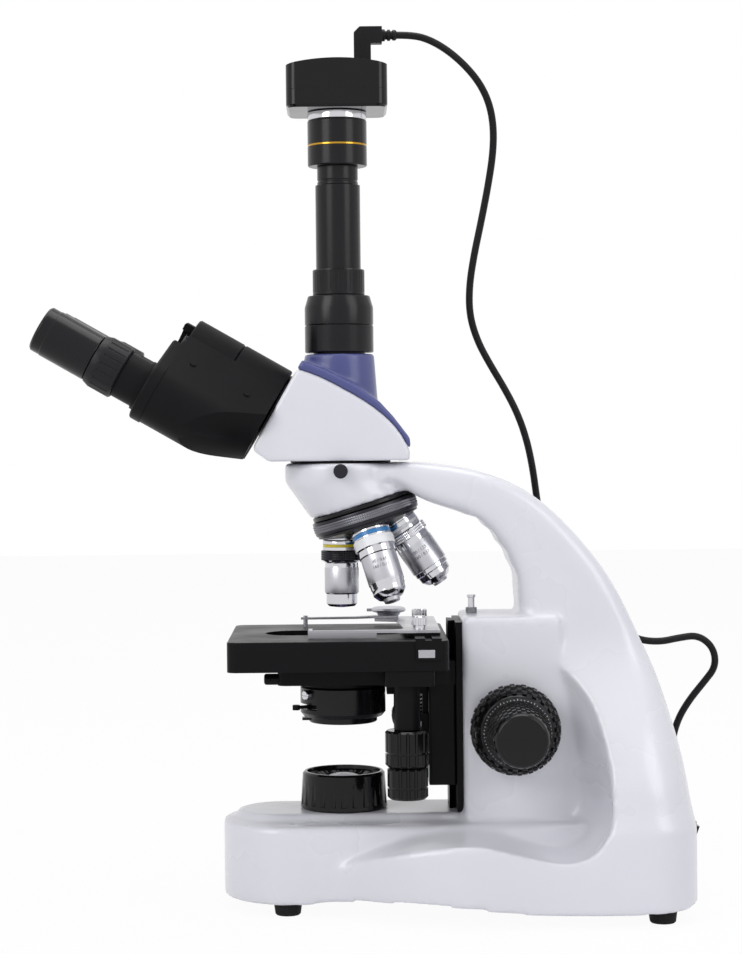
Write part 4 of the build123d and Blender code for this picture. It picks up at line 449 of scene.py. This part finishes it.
def turnOutline(outline, steps):
    bm = bmesh.new()
    points = [bm.verts.new((radius, 0, height)) for radius, height in outline]
    lines = [bm.edges.new(pair) for pair in zip(points, points[1:])]
    bmesh.ops.spin(bm, geom=points + lines, cent=(0, 0, 0), axis=(0, 0, 1), dvec=(0, 0, 0),
                   angle=2 * math.pi, steps=steps, use_merge=True)
    bmesh.ops.remove_doubles(bm, verts=bm.verts, dist=toolSettings["turnedWeld"])
    bmesh.ops.recalc_face_normals(bm, faces=bm.faces)
    return bm


def radiusOf(point):
    return math.hypot(point.x, point.y)


def bandFaces(bm, low, high, least):
    found = []
    for face in bm.faces:
        middle = face.calc_center_median()
        if low < middle.z < high and radiusOf(middle) > least:
            found.append(face)
    return found


def paintBands(bm, bands, least):
    # a finish for each stretch of height outside a radius: (low, high, finish index)
    for low, high, index in bands:
        for face in bandFaces(bm, low, high, least):
            face.material_index = index


def pressKnurl(bm, low, high, least, rise):
    # a small pyramid on every face of the band
    bmesh.ops.poke(bm, faces=bandFaces(bm, low, high, least), offset=rise, center_mode="MEAN",
                   use_relative_offset=False)


def raisePads(bm, rows, least, steps, rise, gap):
    # grip blocks in staggered rows: every other face of a row, shrunk by the gap and raised
    pads = []
    for number, (low, high) in enumerate(rows):
        for face in bandFaces(bm, low, high, least):
            middle = face.calc_center_median()
            place = int((math.atan2(middle.y, middle.x) / (2 * math.pi) % 1.0) * steps)
            if (place + number) % 2 == 0:
                pads.append(face)
    bmesh.ops.inset_individual(bm, faces=pads, thickness=gap, depth=rise, use_even_offset=True)


def joinInto(bm, other, index=None, place=None):
    # adds one bmesh to another
    if index is not None:
        for face in other.faces:
            face.material_index = index
    if place is not None:
        other.transform(place)
    mesh = bpy.data.meshes.new("part")
    other.to_mesh(mesh)
    other.free()
    bm.from_mesh(mesh)
    bpy.data.meshes.remove(mesh)


def block(size, middle):
    bm = bmesh.new()
    bmesh.ops.create_cube(bm, size=1.0)
    bm.transform(Matrix.Translation(middle) @ Matrix.Diagonal((*size, 1.0)))
    return bm


def roundEdges(bm, edges, width, segments):
    bmesh.ops.bevel(bm, geom=edges, offset=width, affect="EDGES", segments=segments, profile=0.5,
                    material=-1)
    return bm


def roundedBlock(size, middle, width, segments=2):
    bm = block(size, middle)
    return roundEdges(bm, bm.edges[:], width, segments)


def toRowFrame(bm):
    # from millimetres about the optical axis to metres about the origin
    bm.transform(Matrix.Translation(atPoint(0, 0, 0)) @ Matrix.Scale(mm, 4))


# Objectives: the outline runs from the seat down, the bands give a finish between two heights, and
# rows are printed round the barrel at their level and radius
objectiveFinishes = ["beadedChrome", "polishedChrome", "enamel", "firedEnamelWhite", "blackenedSteel",
                     "printedInkDark"]
objectiveSettings = {
    "10x": {"place": 0, "front": 40.5, "knurl": (6.9, 12.3),
            "outline": [(11.0, 0), (11.2, 0.3), (11.2, 2.7), (10.9, 2.8), (11.1, 2.95), (11.1, 4.25),
                        (10.9, 4.4), (11.2, 4.55), (11.2, 6.3), (12.0, 6.8), (12.0, 8.2), (12.0, 9.6),
                        (12.0, 11.0), (12.0, 12.4), (10.9, 13.4), (10.0, 14.0), (9.9, 14.3), (9.9, 16.6),
                        (10.2, 17.2), (10.2, 31.8), (9.9, 32.3), (9.3, 32.6), (9.3, 38.4), (7.8, 40.0),
                        (5.0, 40.5)],
            "bands": [(-5, 6.4, 1), (2.8, 4.4, 2), (6.4, 12.5, 4), (12.5, 16.7, 1), (16.7, 32.0, 0),
                      (32.0, 41, 1)],
            "enamel": "firedEnamelYellow", "rows": ()},
    "4x": {"place": 1, "front": 29.0, "knurl": (0.4, 1.9),
           "outline": [(11.6, 0), (11.9, 0.3), (11.9, 2.0), (11.9, 2.5), (11.6, 2.6), (11.8, 2.75),
                       (11.8, 4.25), (11.6, 4.4), (11.9, 4.55), (11.9, 7.9), (11.2, 8.6), (11.2, 16.0),
                       (10.4, 16.6), (10.4, 22.0), (9.6, 23.0), (8.4, 27.4), (6.8, 29.0)],
           "bands": [(-5, 8.5, 1), (2.6, 4.4, 2), (8.5, 22.0, 0), (22.0, 30, 1)],
           "enamel": "firedEnamelRed", "rows": ("4 / 0.10", "160 / -"), "rowLevel": 18.5, "rowRadius": 10.4},
    "100x": {"place": 2, "front": 44.5, "knurl": (7.2, 11.5),
             "outline": [(10.3, 0), (10.6, 0.3), (10.6, 2.9), (10.3, 3.0), (10.5, 3.15), (10.5, 4.45),
                         (10.3, 4.6), (10.6, 4.75), (10.6, 6.5), (11.9, 7.0), (11.9, 8.5), (11.9, 10.0),
                         (11.9, 11.6), (11.2, 12.0), (11.2, 15.6), (11.4, 16.0), (11.4, 32.2), (11.0, 32.6),
                         (11.0, 35.0), (10.2, 35.6), (9.9, 39.0), (7.4, 42.0), (5.0, 43.0), (4.4, 44.5)],
             "bands": [(-5, 12.1, 1), (3.0, 4.6, 3), (12.1, 13.4, 4), (13.4, 16.1, 1), (16.1, 32.3, 0),
                       (32.3, 46, 1)],
             "enamel": "firedEnamelWhite", "rows": ("100 / 1.25", "160 / 0.17"), "rowLevel": 21.5,
             "rowRadius": 11.4},
    "40x": {"place": 3, "front": 44.5, "knurl": None,
            "outline": [(11.3, 0), (11.6, 0.3), (11.6, 1.5), (11.3, 1.6), (11.5, 1.75), (11.5, 4.05),
                        (11.3, 4.2), (11.6, 4.35), (11.6, 5.0), (12.2, 5.4), (12.2, 11.0), (11.4, 11.8),
                        (11.4, 15.4), (10.7, 16.0), (10.7, 32.4), (10.3, 33.0), (10.3, 35.2), (9.9, 35.8),
                        (9.9, 38.6), (7.6, 41.6), (5.2, 42.6), (4.6, 44.5)],
            "bands": [(-5, 5.3, 1), (1.6, 4.2, 2), (5.3, 11.2, 3), (11.2, 16.1, 1), (16.1, 32.6, 0),
                      (32.6, 46, 1)],
            "enamel": "firedEnamelBlue", "rows": ("40 / 0.65", "160 / 0.17"), "rowLevel": 21.5,
            "rowRadius": 10.7},
}
seatThread = [(5.0, -4.6), (9.6, -4.6), (9.94, -4.2), (9.94, 0)]
barrelSettings = {"steps": 72, "paintFrom": 5.3, "knurlFrom": 11.0, "knurlRise": 0.35}
printSettings = {"height": 2.6, "spacing": 3.4, "thick": 0.04}
noseTilt = math.radians(17)
noseApex = 280.5
seatReach = 62.0


def nosePlace():
    # the turret's own frame, tilted forward under the arm
    lean, drop = math.sin(noseTilt), math.cos(noseTilt)
    return localFrame((0, 0, noseApex), (drop, 0, lean), (lean, 0, -drop))


def seatPlace(place):
    # four seats on the turret's cone, a quarter turn apart, the one in use first
    turn = math.radians(180 + 90 * place)
    lean, drop = math.sin(noseTilt), math.cos(noseTilt)
    axis = Vector((lean * math.cos(turn), lean * math.sin(turn), drop))
    side = Vector((-math.sin(turn), math.cos(turn), 0))
    lie = Matrix((side, axis.cross(side), axis)).transposed().to_4x4()
    return nosePlace() @ Matrix.Translation(axis * seatReach) @ lie


def printedRow(words, radius, level, facing):
    # numbers wrapped round a barrel, their tops towards the seat
    data = bpy.data.curves.new("numbers", "FONT")
    data.body = words
    data.size = printSettings["height"]
    data.align_x = "CENTER"
    data.extrude = printSettings["thick"]
    line = bpy.data.objects.new("numbers", data)
    scene.collection.objects.link(line)
    bm = bmesh.new()
    bm.from_mesh(takeMesh(line))
    for vertex in bm.verts:
        x, y, z = vertex.co
        angle = facing - x / radius
        vertex.co = ((radius + z) * math.cos(angle), (radius + z) * math.sin(angle), level - y)
    return bm


def buildObjective(name):
    s = objectiveSettings[name]
    node = "objective_" + name
    place = seatPlace(s["place"])
    front = s["front"]
    inside = [(2.2, front), (5.0, front - 6), (5.0, -4.6)]
    bm = turnOutline(seatThread + s["outline"] + inside, barrelSettings["steps"])
    paintBands(bm, s["bands"], barrelSettings["paintFrom"])
    if s["knurl"]:
        pressKnurl(bm, *s["knurl"], barrelSettings["knurlFrom"], barrelSettings["knurlRise"])
    markEdges(bm, turnedCrease)
    towards = place.inverted().to_3x3() @ Vector((0, -1, 0))  # the print faces the user's right
    facing = math.atan2(towards.y, towards.x)
    for number, words in enumerate(s["rows"]):
        level = s["rowLevel"] + printSettings["spacing"] * number
        joinInto(bm, printedRow(words, s["rowRadius"], level, facing), 5)
    bm.transform(place)
    body = bodyOf(node)
    labels = [s["enamel"] if label == "enamel" else label for label in objectiveFinishes]
    addPiece("objective" + name, bm, labels, body, [node])
    lens = turnOutline([(0, front - 5), (4.3, front - 5), (2.15, front - 0.6), (1.5, front - 0.25),
                        (0.8, front - 0.05), (0, front)], 32)
    markEdges(lens)
    lens.transform(place)
    addPiece("objective" + name + "Lens", lens, ["coatedGlass"], body)


for name in objectiveSettings:
    buildObjective(name)
print("objectives built")

turretSettings = {"radius": 32.0, "steps": 150, "knurl": (47.4, 51.6), "knurlFrom": 31.5, "knurlRise": 0.4}


def buildTurret():
    s = turretSettings
    r = s["radius"]
    bm = turnOutline([(5.06, 50.3), (27, 50.3), (29, 45.6), (29.3, 45.3), (31, 45.3), (31.7, 45.6),
                      (r, 46.3), (r, 47.4), (r, 48.8), (r, 50.2), (r, 51.6), (r, 53.0), (31.7, 53.7),
                      (31, 54.1), (30.8, 55.42), (9, 62.08), (5.06, 62.08), (5.06, 50.3)], s["steps"])
    paintBands(bm, [(*s["knurl"], 1)], s["knurlFrom"])
    pressKnurl(bm, *s["knurl"], s["knurlFrom"], s["knurlRise"])
    markEdges(bm, turnedCrease)
    bm.transform(nosePlace())
    addPiece("nosepieceTurret", bm, ["blackenedSteel", "knurledSteelGrey"],
             bodyOf("nosepiece_turret"), ["nosepiece_turret"])


buildTurret()

# Focusing knobs: distances are from the middle plane outwards, and rows are (low, high) on the knob
knobSettings = {"axis": (100.0, 109.0), "coarseNear": 38.0, "ringNear": 60.0, "fineNear": 65.0}
coarseSettings = {"steps": 48, "least": 21.0, "rise": 1.1, "gap": 0.35,
                  "rows": ((4.0, 7.4), (8.0, 11.4), (12.0, 15.4), (16.0, 19.4), (20.0, 22.6)),
                  "outline": [(4.56, 0), (23.3, 0), (24.6, 1.2), (25.2, 3.0), (25.3, 4.0), (25.3, 7.4),
                              (25.3, 8.0), (25.2, 11.4), (25.2, 12.0), (24.7, 15.4), (24.6, 16.0),
                              (23.4, 19.4), (23.1, 20.0), (21.6, 22.6), (21.0, 23.6), (20.6, 23.8),
                              (20.6, 22.0), (4.56, 22.0), (4.56, 0)]}
ringSettings = {"outline": [(6.5, 0), (20.3, 0), (20.55, 0.3), (20.55, 2.0), (19.0, 4.5), (18.7, 4.6),
                            (6.5, 4.6), (6.5, 0)],
                "strokes": 60, "long": 1.5, "short": 0.9, "width": 0.24, "thick": 0.1,
                "rim": (19.05, 4.47), "slope": math.radians(58.2)}
fineSettings = {"steps": 40, "least": 14.0, "rise": 0.8, "gap": 0.3, "wide": 18.05, "taper": 0.075,
                "rows": ((2.0, 5.2), (6.0, 9.2), (10.0, 13.2), (14.0, 17.2), (18.0, 21.2), (22.0, 25.2),
                         (26.0, 29.0)),
                "start": [(0, 0), (17.4, 0), (18.0, 0.6), (18.0, 2.0)],
                "end": [(15.6, 30.4), (14.9, 31.8), (14.3, 32.6), (13.5, 33.0), (12.8, 33.0),
                        (12.5, 32.8), (0, 32.8)]}


def knobPlace(side, distance):
    x, z = knobSettings["axis"]
    return localFrame((x, side * distance, z), (1, 0, 0), (0, side, 0))


def middlePart(nodeName, reach):
    # the faces of a node that lie within that reach of the middle plane
    bm = mergedCopy(nodeName)
    away = [face for face in bm.faces if max(abs(v.co.y) for v in face.verts) > reach * mm]
    bmesh.ops.delete(bm, geom=away, context="FACES")
    return bm


def buildCoarseKnobs():
    # two knobs on a tube, with the solid's pinion between them
    s = coarseSettings
    bm = middlePart("coarse_knobs", 20)
    tube = turnOutline([(2.6, -60), (4.5, -60), (4.5, 60), (2.6, 60), (2.6, -60)], 32)
    joinInto(bm, tube, None, knobPlace(1, 0))
    for face in bm.faces:
        face.material_index = 1
    for side in (-1, 1):
        knob = turnOutline(s["outline"], s["steps"])
        raisePads(knob, s["rows"], s["least"], s["steps"], s["rise"], s["gap"])
        joinInto(bm, knob, 0, knobPlace(side, knobSettings["coarseNear"]))
    markEdges(bm, turnedCrease)
    addPiece("coarseKnobs", bm, ["polishedAbsBlack", "brushedSteel"], bodyOf("coarse_knobs"),
             ["coarse_knobs"])


def scaleStroke(number):
    # one stroke on the ring's cone, every fifth one longer
    s = ringSettings
    length = s["long"] if number % 5 == 0 else s["short"]
    radius, height = s["rim"]
    out = (radius + length / 2 * 0.52, 0, height - length / 2 * 0.85)
    bm = bmesh.new()
    bmesh.ops.create_cube(bm, size=1.0)
    bm.transform(Matrix.Rotation(2 * math.pi * number / s["strokes"], 4, "Z") @ Matrix.Translation(out)
                 @ Matrix.Rotation(s["slope"], 4, "Y")
                 @ Matrix.Diagonal((length, s["width"], s["thick"], 1.0)))
    return bm


def buildScaleRings():
    # a ring of white strokes beside each coarse knob
    bm = bmesh.new()
    for side in (-1, 1):
        place = knobPlace(side, knobSettings["ringNear"])
        joinInto(bm, turnOutline(ringSettings["outline"], 96), 0, place)
        for number in range(ringSettings["strokes"]):
            joinInto(bm, scaleStroke(number), 1, place)
    markEdges(bm, turnedCrease)
    addPiece("scaleRings", bm, ["mouldedAbsCharcoal", "printedInkWhite"], bodyOf("scale_rings"),
             ["scale_rings"])


def buildFineKnobs():
    # two tapered knobs with a sunk flat face, on a shaft through the coarse tube
    s = fineSettings
    bm = turnOutline([(0, -66), (2.5, -66), (2.5, 66), (0, 66)], 32)
    for face in bm.faces:
        face.material_index = 1
    bm.transform(knobPlace(1, 0))
    grip = [(s["wide"] - s["taper"] * height, height) for row in s["rows"] for height in row]
    for side in (-1, 1):
        knob = turnOutline(s["start"] + grip + s["end"], s["steps"])
        raisePads(knob, s["rows"], s["least"], s["steps"], s["rise"], s["gap"])
        joinInto(bm, knob, 0, knobPlace(side, knobSettings["fineNear"]))
    markEdges(bm, turnedCrease)
    addPiece("fineKnobs", bm, ["polishedAbsBlack", "brushedSteel"], bodyOf("fine_knobs"),
             ["fine_knobs"])


buildCoarseKnobs()
buildScaleRings()
buildFineKnobs()
print("knobs built")


# Plug and tie: blocks are (size, middle) in millimetres
mouldedCrease = 40
plugSettings = {
    "grip": ((26, 15.6, 8), (105, 109.25, 4.1)), "gripRound": 1.8,
    "ribs": 5, "firstRib": 100, "ribStep": 3.2, "rib": (1.2, 15.9, 6.0), "neckAt": (117.8, 109.25, 4.05),
    "neck": [(0, 0), (3.5, 0), (3.3, 3.0), (2.7, 3.4), (3.1, 4.0), (3.0, 6.6), (2.5, 7.0), (2.8, 7.6),
             (2.6, 10.0), (2.3, 10.2), (0, 10.2)],
    "shell": ((18, 12, 4.5), (83.1, 109.25, 4.1)), "sheet": 0.5,
    "tongue": ((16, 10.6, 1.8), (84.0, 109.25, 3.2)),
    "lanes": 4, "laneStart": (82, 105.6, 4.15), "laneStep": 2.45, "contact": (9, 1.1, 0.15)}
tieSettings = {"size": (6.0, 17.6, 9.76), "middle": (150.0, 165.4, 4.9), "corner": 2.0, "thick": 0.5}


def buildPlug():
    # the flat plug at the cable's far end: grip, neck, pressed shell, tongue with its contacts
    s = plugSettings
    bm = roundedBlock(*s["grip"], s["gripRound"], 3)
    for rib in range(s["ribs"]):
        at = (s["firstRib"] + s["ribStep"] * rib, *s["grip"][1][1:])
        joinInto(bm, roundedBlock(s["rib"], at, 0.4), 0)
    neckPlace = Matrix.Translation(s["neckAt"]) @ Matrix.Rotation(math.radians(90), 4, "Y")
    joinInto(bm, turnOutline(s["neck"], 32), 0, neckPlace)
    shell = block(*s["shell"])
    bmesh.ops.delete(shell, geom=[f for f in shell.faces if f.normal.x < -0.5], context="FACES")
    bmesh.ops.solidify(shell, geom=shell.faces[:], thickness=s["sheet"])
    joinInto(bm, shell, 1)
    joinInto(bm, roundedBlock(*s["tongue"], 0.2), 2)
    x, y, z = s["laneStart"]
    for lane in range(s["lanes"]):
        joinInto(bm, roundedBlock(s["contact"], (x, y + s["laneStep"] * lane, z), 0.05, 1), 3)
    markEdges(bm, mouldedCrease)
    toRowFrame(bm)
    labels = ["extrudedPvcBlack", "polishedChrome", "firedEnamelWhite", "lacqueredBrass"]
    return addPiece("usbPlug", bm, labels, bodyOf("usb_plug"), ["usb_plug"])


def buildTie():
    # a soft band round the coil's turns on the side away from the arm
    s = tieSettings
    bm = block(s["size"], s["middle"])
    bmesh.ops.delete(bm, geom=[f for f in bm.faces if abs(f.normal.x) > 0.5], context="FACES")
    along = [e for e in bm.edges if abs(e.verts[0].co.x - e.verts[1].co.x) > 1]
    roundEdges(bm, along, s["corner"], 4)
    bmesh.ops.solidify(bm, geom=bm.faces[:], thickness=s["thick"])
    markEdges(bm, mouldedCrease)
    toRowFrame(bm)
    return addPiece("cableTie", bm, ["mouldedRubberBlack"], "stand")


cablePlug = refine("camera_plug", ["extrudedPvcBlack"], edge=0.4)
buildTie()
buildPlug()
print("tie and plug built")

# Every other node keeps the solid's shape with soft edges and its own finish. A chooser takes the
# middle of a face, in millimetres about the optical axis, and gives the number of its finish.
refine("bottom_cover", ["zincPlatedSheet"], edge=0.15)
refine("rubber_feet", ["mouldedRubberBlack", "zincPlatedSheet"],
       lambda x, y, z: 1 if min(math.hypot(x - fx, abs(y) - fy) for fx, fy in ((-33.5, 30), (182, 63))) < 3.7
       and z > 2.9 else 0)
refine("collector_ring", ["polishedAbsBlack"], edge=0.3)
refine("field_lens", ["groundGlass"], edge=0)
refine("lamp_unit", ["brushedSteel", "solderMaskGreen"],
       lambda x, y, z: 1 if math.hypot(x, y) < 13.95 and z > 38.9 else 0, edge=0)
refine("power_board", ["solderMaskGreen", "mouldedAbsCharcoal"],
       lambda x, y, z: 0 if z < 22.2 and y < 60 else 1, edge=0.1)
refine("rear_sockets", ["mouldedAbsCharcoal", "polishedChrome"],
       lambda x, y, z: 1 if y > 0 and math.hypot(y - 34, z - 46) < 3.05 else 0, edge=0.2)
refine("switch_rocker", ["polishedAbsBlack"], edge=0.3)
refine("brightness_dial", ["polishedAbsBlack"], edge=0.25)
refine("guide_rail", ["satinPaintBlack"], edge=0.3)
refine("focus_bushes", ["zincPlatedSheet", "polishedChrome"],
       lambda x, y, z: 1 if z > 150 else 0, edge=0.15)
refine("limit_nut", ["zincPlatedSheet"], edge=0.12)
refine("tension_collar", ["mouldedAbsCharcoal"], edge=0.25)
refine("stage_bracket", ["satinPaintBlack", "brushedSteel"],
       lambda x, y, z: 1 if abs(y) < 4.5 and x > 69 else 0, edge=0.3)
refine("stage_bed", ["satinPaintBlack"], edge=0.3)
# the stage plate is one paint: its sides get the darker, duller satin black as painted shade, so the apron
# shows no reflection of the pale room
refine("stage_plate", ["satinPaintBlack", "bakedLacquerStage"],
       lambda x, y, z: 1 if z > 165.0 else 0, edge=0.3)
refine("cross_guide", ["satinPaintBlack", "brushedSteel"],
       lambda x, y, z: 1 if y < -64.35 and z < 160 else 0, edge=0.15)
refine("slide_holder", ["brushedSteel", "polishedChrome", "satinPaintBlack"],
       lambda x, y, z: 1 if z > 167.3 else (2 if z < 165.3 and x > 37.9 else 0), edge=0.15)
refine("holder_finger", ["brushedSteel", "beadedChrome"],
       lambda x, y, z: 1 if math.hypot(x - 28.8, y - 49.5) < 11.5 and z > 168.5 else 0, edge=0.15)
refine("coax_housing", ["satinPaintBlack"], edge=0.3)
refine("fore_aft_knob", ["polishedAbsBlack"], edge=0.25)
refine("cross_knob", ["polishedAbsBlack"], edge=0.25)
refine("condenser_carrier", ["satinPaintBlack"], edge=0.2)
refine("condenser_body", ["anodisedTurnedBlack", "polishedChrome"],
       lambda x, y, z: 1 if math.hypot(x, y) > 25.55 or z < 112.9 else 0, edge=0.2)
refine("condenser_lens", ["coatedGlass"], edge=0)
refine("iris_lever", ["satinPaintBlack"], edge=0.15)
refine("filter_holder", ["anodisedTurnedBlack"], edge=0.15)
refine("condenser_knob", ["polishedAbsBlack", "brushedSteel"],
       lambda x, y, z: 1 if y < 24.5 else 0, edge=0.25)
refine("nosepiece_mount", ["anodisedTurnedBlack"], edge=0.15)
refine("head_dovetail", ["satinPaintBlack"], edge=0.15)
refine("head_prism", ["coatedGlass", "satinPaintBlack"],
       lambda x, y, z: 1 if z < 276.1 else 0, edge=0.15)
refine("tube_bracket", ["anodisedTurnedBlack"], edge=0.2)
for side in ("right", "left"):
    refine(side + "_box", ["cracklePaintBlack"], edge=0.35)
    refine(side + "_diopter", ["mouldedAbsCharcoal"], edge=0.2)
    refine(side + "_eyepiece", ["anodisedTurnedBlack"], edge=0.2)
refine("head_lock_screw", ["blackenedSteel"], edge=0.15)
refine("photo_port", ["anodisedTurnedBlack"], edge=0.2)
refine("lock_collar", ["anodisedTurnedBlack"], edge=0.1)
refine("photo_tube", ["anodisedTurnedBlack"], edge=0.2)
refine("camera_adapter", ["anodisedTurnedBlack", "lacqueredBrass", "polishedChrome"],
       lambda x, y, z: 2 if z > 469.41 else (1 if 453.79 < z < 455.01 and math.hypot(x, y) > 17.35 else 0),
       edge=0.15)
refine("camera_lower", ["polishedAbsBlack"], edge=0.3)
refine("camera_upper", ["polishedAbsBlack"], edge=0.3)
print("nodes dressed")

# Floor and light. Each lamp has its place, what it looks at, its size and its power.
lamps = {
    "softboxLeft": ((-1.5, -1.5, 1.3), (0, 0, 0.25), (1.1, 1.4), 19),
    "softboxRight": ((1.5, -1.3, 1.2), (0, 0, 0.25), (1.0, 1.4), 12),
    "softboxTop": ((0, 0.1, 1.9), (0, 0, 0.2), (1.4, 1.2), 16),
}
surroundings = {"room": "#F2F3F7", "roomStrength": 0.4, "paperGlow": 0.95, "benchHalf": 4.0}


def addLamp(name, place, aim, size, power):
    data = bpy.data.lights.new(name, "AREA")
    data.shape = "RECTANGLE"
    data.size, data.size_y = size
    data.energy = power
    lamp = bpy.data.objects.new(name, data)
    scene.collection.objects.link(lamp)
    lamp.location = place
    lamp.rotation_euler = (Vector(place) - Vector(aim)).to_track_quat("Z", "Y").to_euler()


def seenPlainly(tree):
    # 1 for rays from the camera, off glossy faces and through glass, which all meet plain white
    rays = addNode(tree, "ShaderNodeLightPath")
    seen = rays.outputs["Is Camera Ray"]
    for kind in ("Is Transmission Ray", "Is Glossy Ray"):
        larger = addNode(tree, "ShaderNodeMath", {"operation": "MAXIMUM"}, {0: seen, 1: rays.outputs[kind]})
        seen = larger.outputs[0]
    return seen


def paperFinish():
    # matt white paper sweep: white to the eye, yet it keeps the object's shadow
    paper = makeFinish("mattPaperWhite", {
        "colour": "#F4F4F6", "second": "#F0F0F2", "rough": (0.7, 0.8), "grain": 2.0, "relief": 0.02,
        "patch": 200, "shader": {"IOR": 1.4}})
    tree = paper.node_tree
    share = addNode(tree, "ShaderNodeMath", {"operation": "MULTIPLY", 1: surroundings["paperGlow"]},
                    {0: seenPlainly(tree)})
    white = addNode(tree, "ShaderNodeEmission", {"Color": (1, 1, 1, 1), "Strength": 1.0})
    mix = addNode(tree, "ShaderNodeMixShader", None, {
        0: share.outputs[0], 1: tree.nodes["Principled BSDF"].outputs[0], 2: white.outputs[0]})
    tree.links.new(mix.outputs[0], tree.nodes["Material Output"].inputs["Surface"])
    return paper


def addWorld():
    world = bpy.data.worlds.new("paleRoom")
    scene.world = world
    world.use_nodes = True
    tree = world.node_tree
    tree.nodes.clear()
    room = addNode(tree, "ShaderNodeBackground", {"Color": toLinear(surroundings["room"]),
                                                  "Strength": surroundings["roomStrength"]})
    white = addNode(tree, "ShaderNodeBackground", {"Color": (1, 1, 1, 1), "Strength": 1.0})
    mix = addNode(tree, "ShaderNodeMixShader", None, {0: seenPlainly(tree), 1: room.outputs[0],
                                                      2: white.outputs[0]})
    addNode(tree, "ShaderNodeOutputWorld", None, {"Surface": mix.outputs[0]})


def addBench():
    bm = bmesh.new()
    bmesh.ops.create_grid(bm, x_segments=2, y_segments=2, size=surroundings["benchHalf"])
    mesh = bpy.data.meshes.new("benchTop")
    bm.to_mesh(mesh)
    bm.free()
    mesh.materials.append(paperFinish())
    bench = bpy.data.objects.new("benchTop", mesh)
    scene.collection.objects.link(bench)


addWorld()
addBench()
for name, lamp in lamps.items():
    addLamp(name, *lamp)
print("light set")
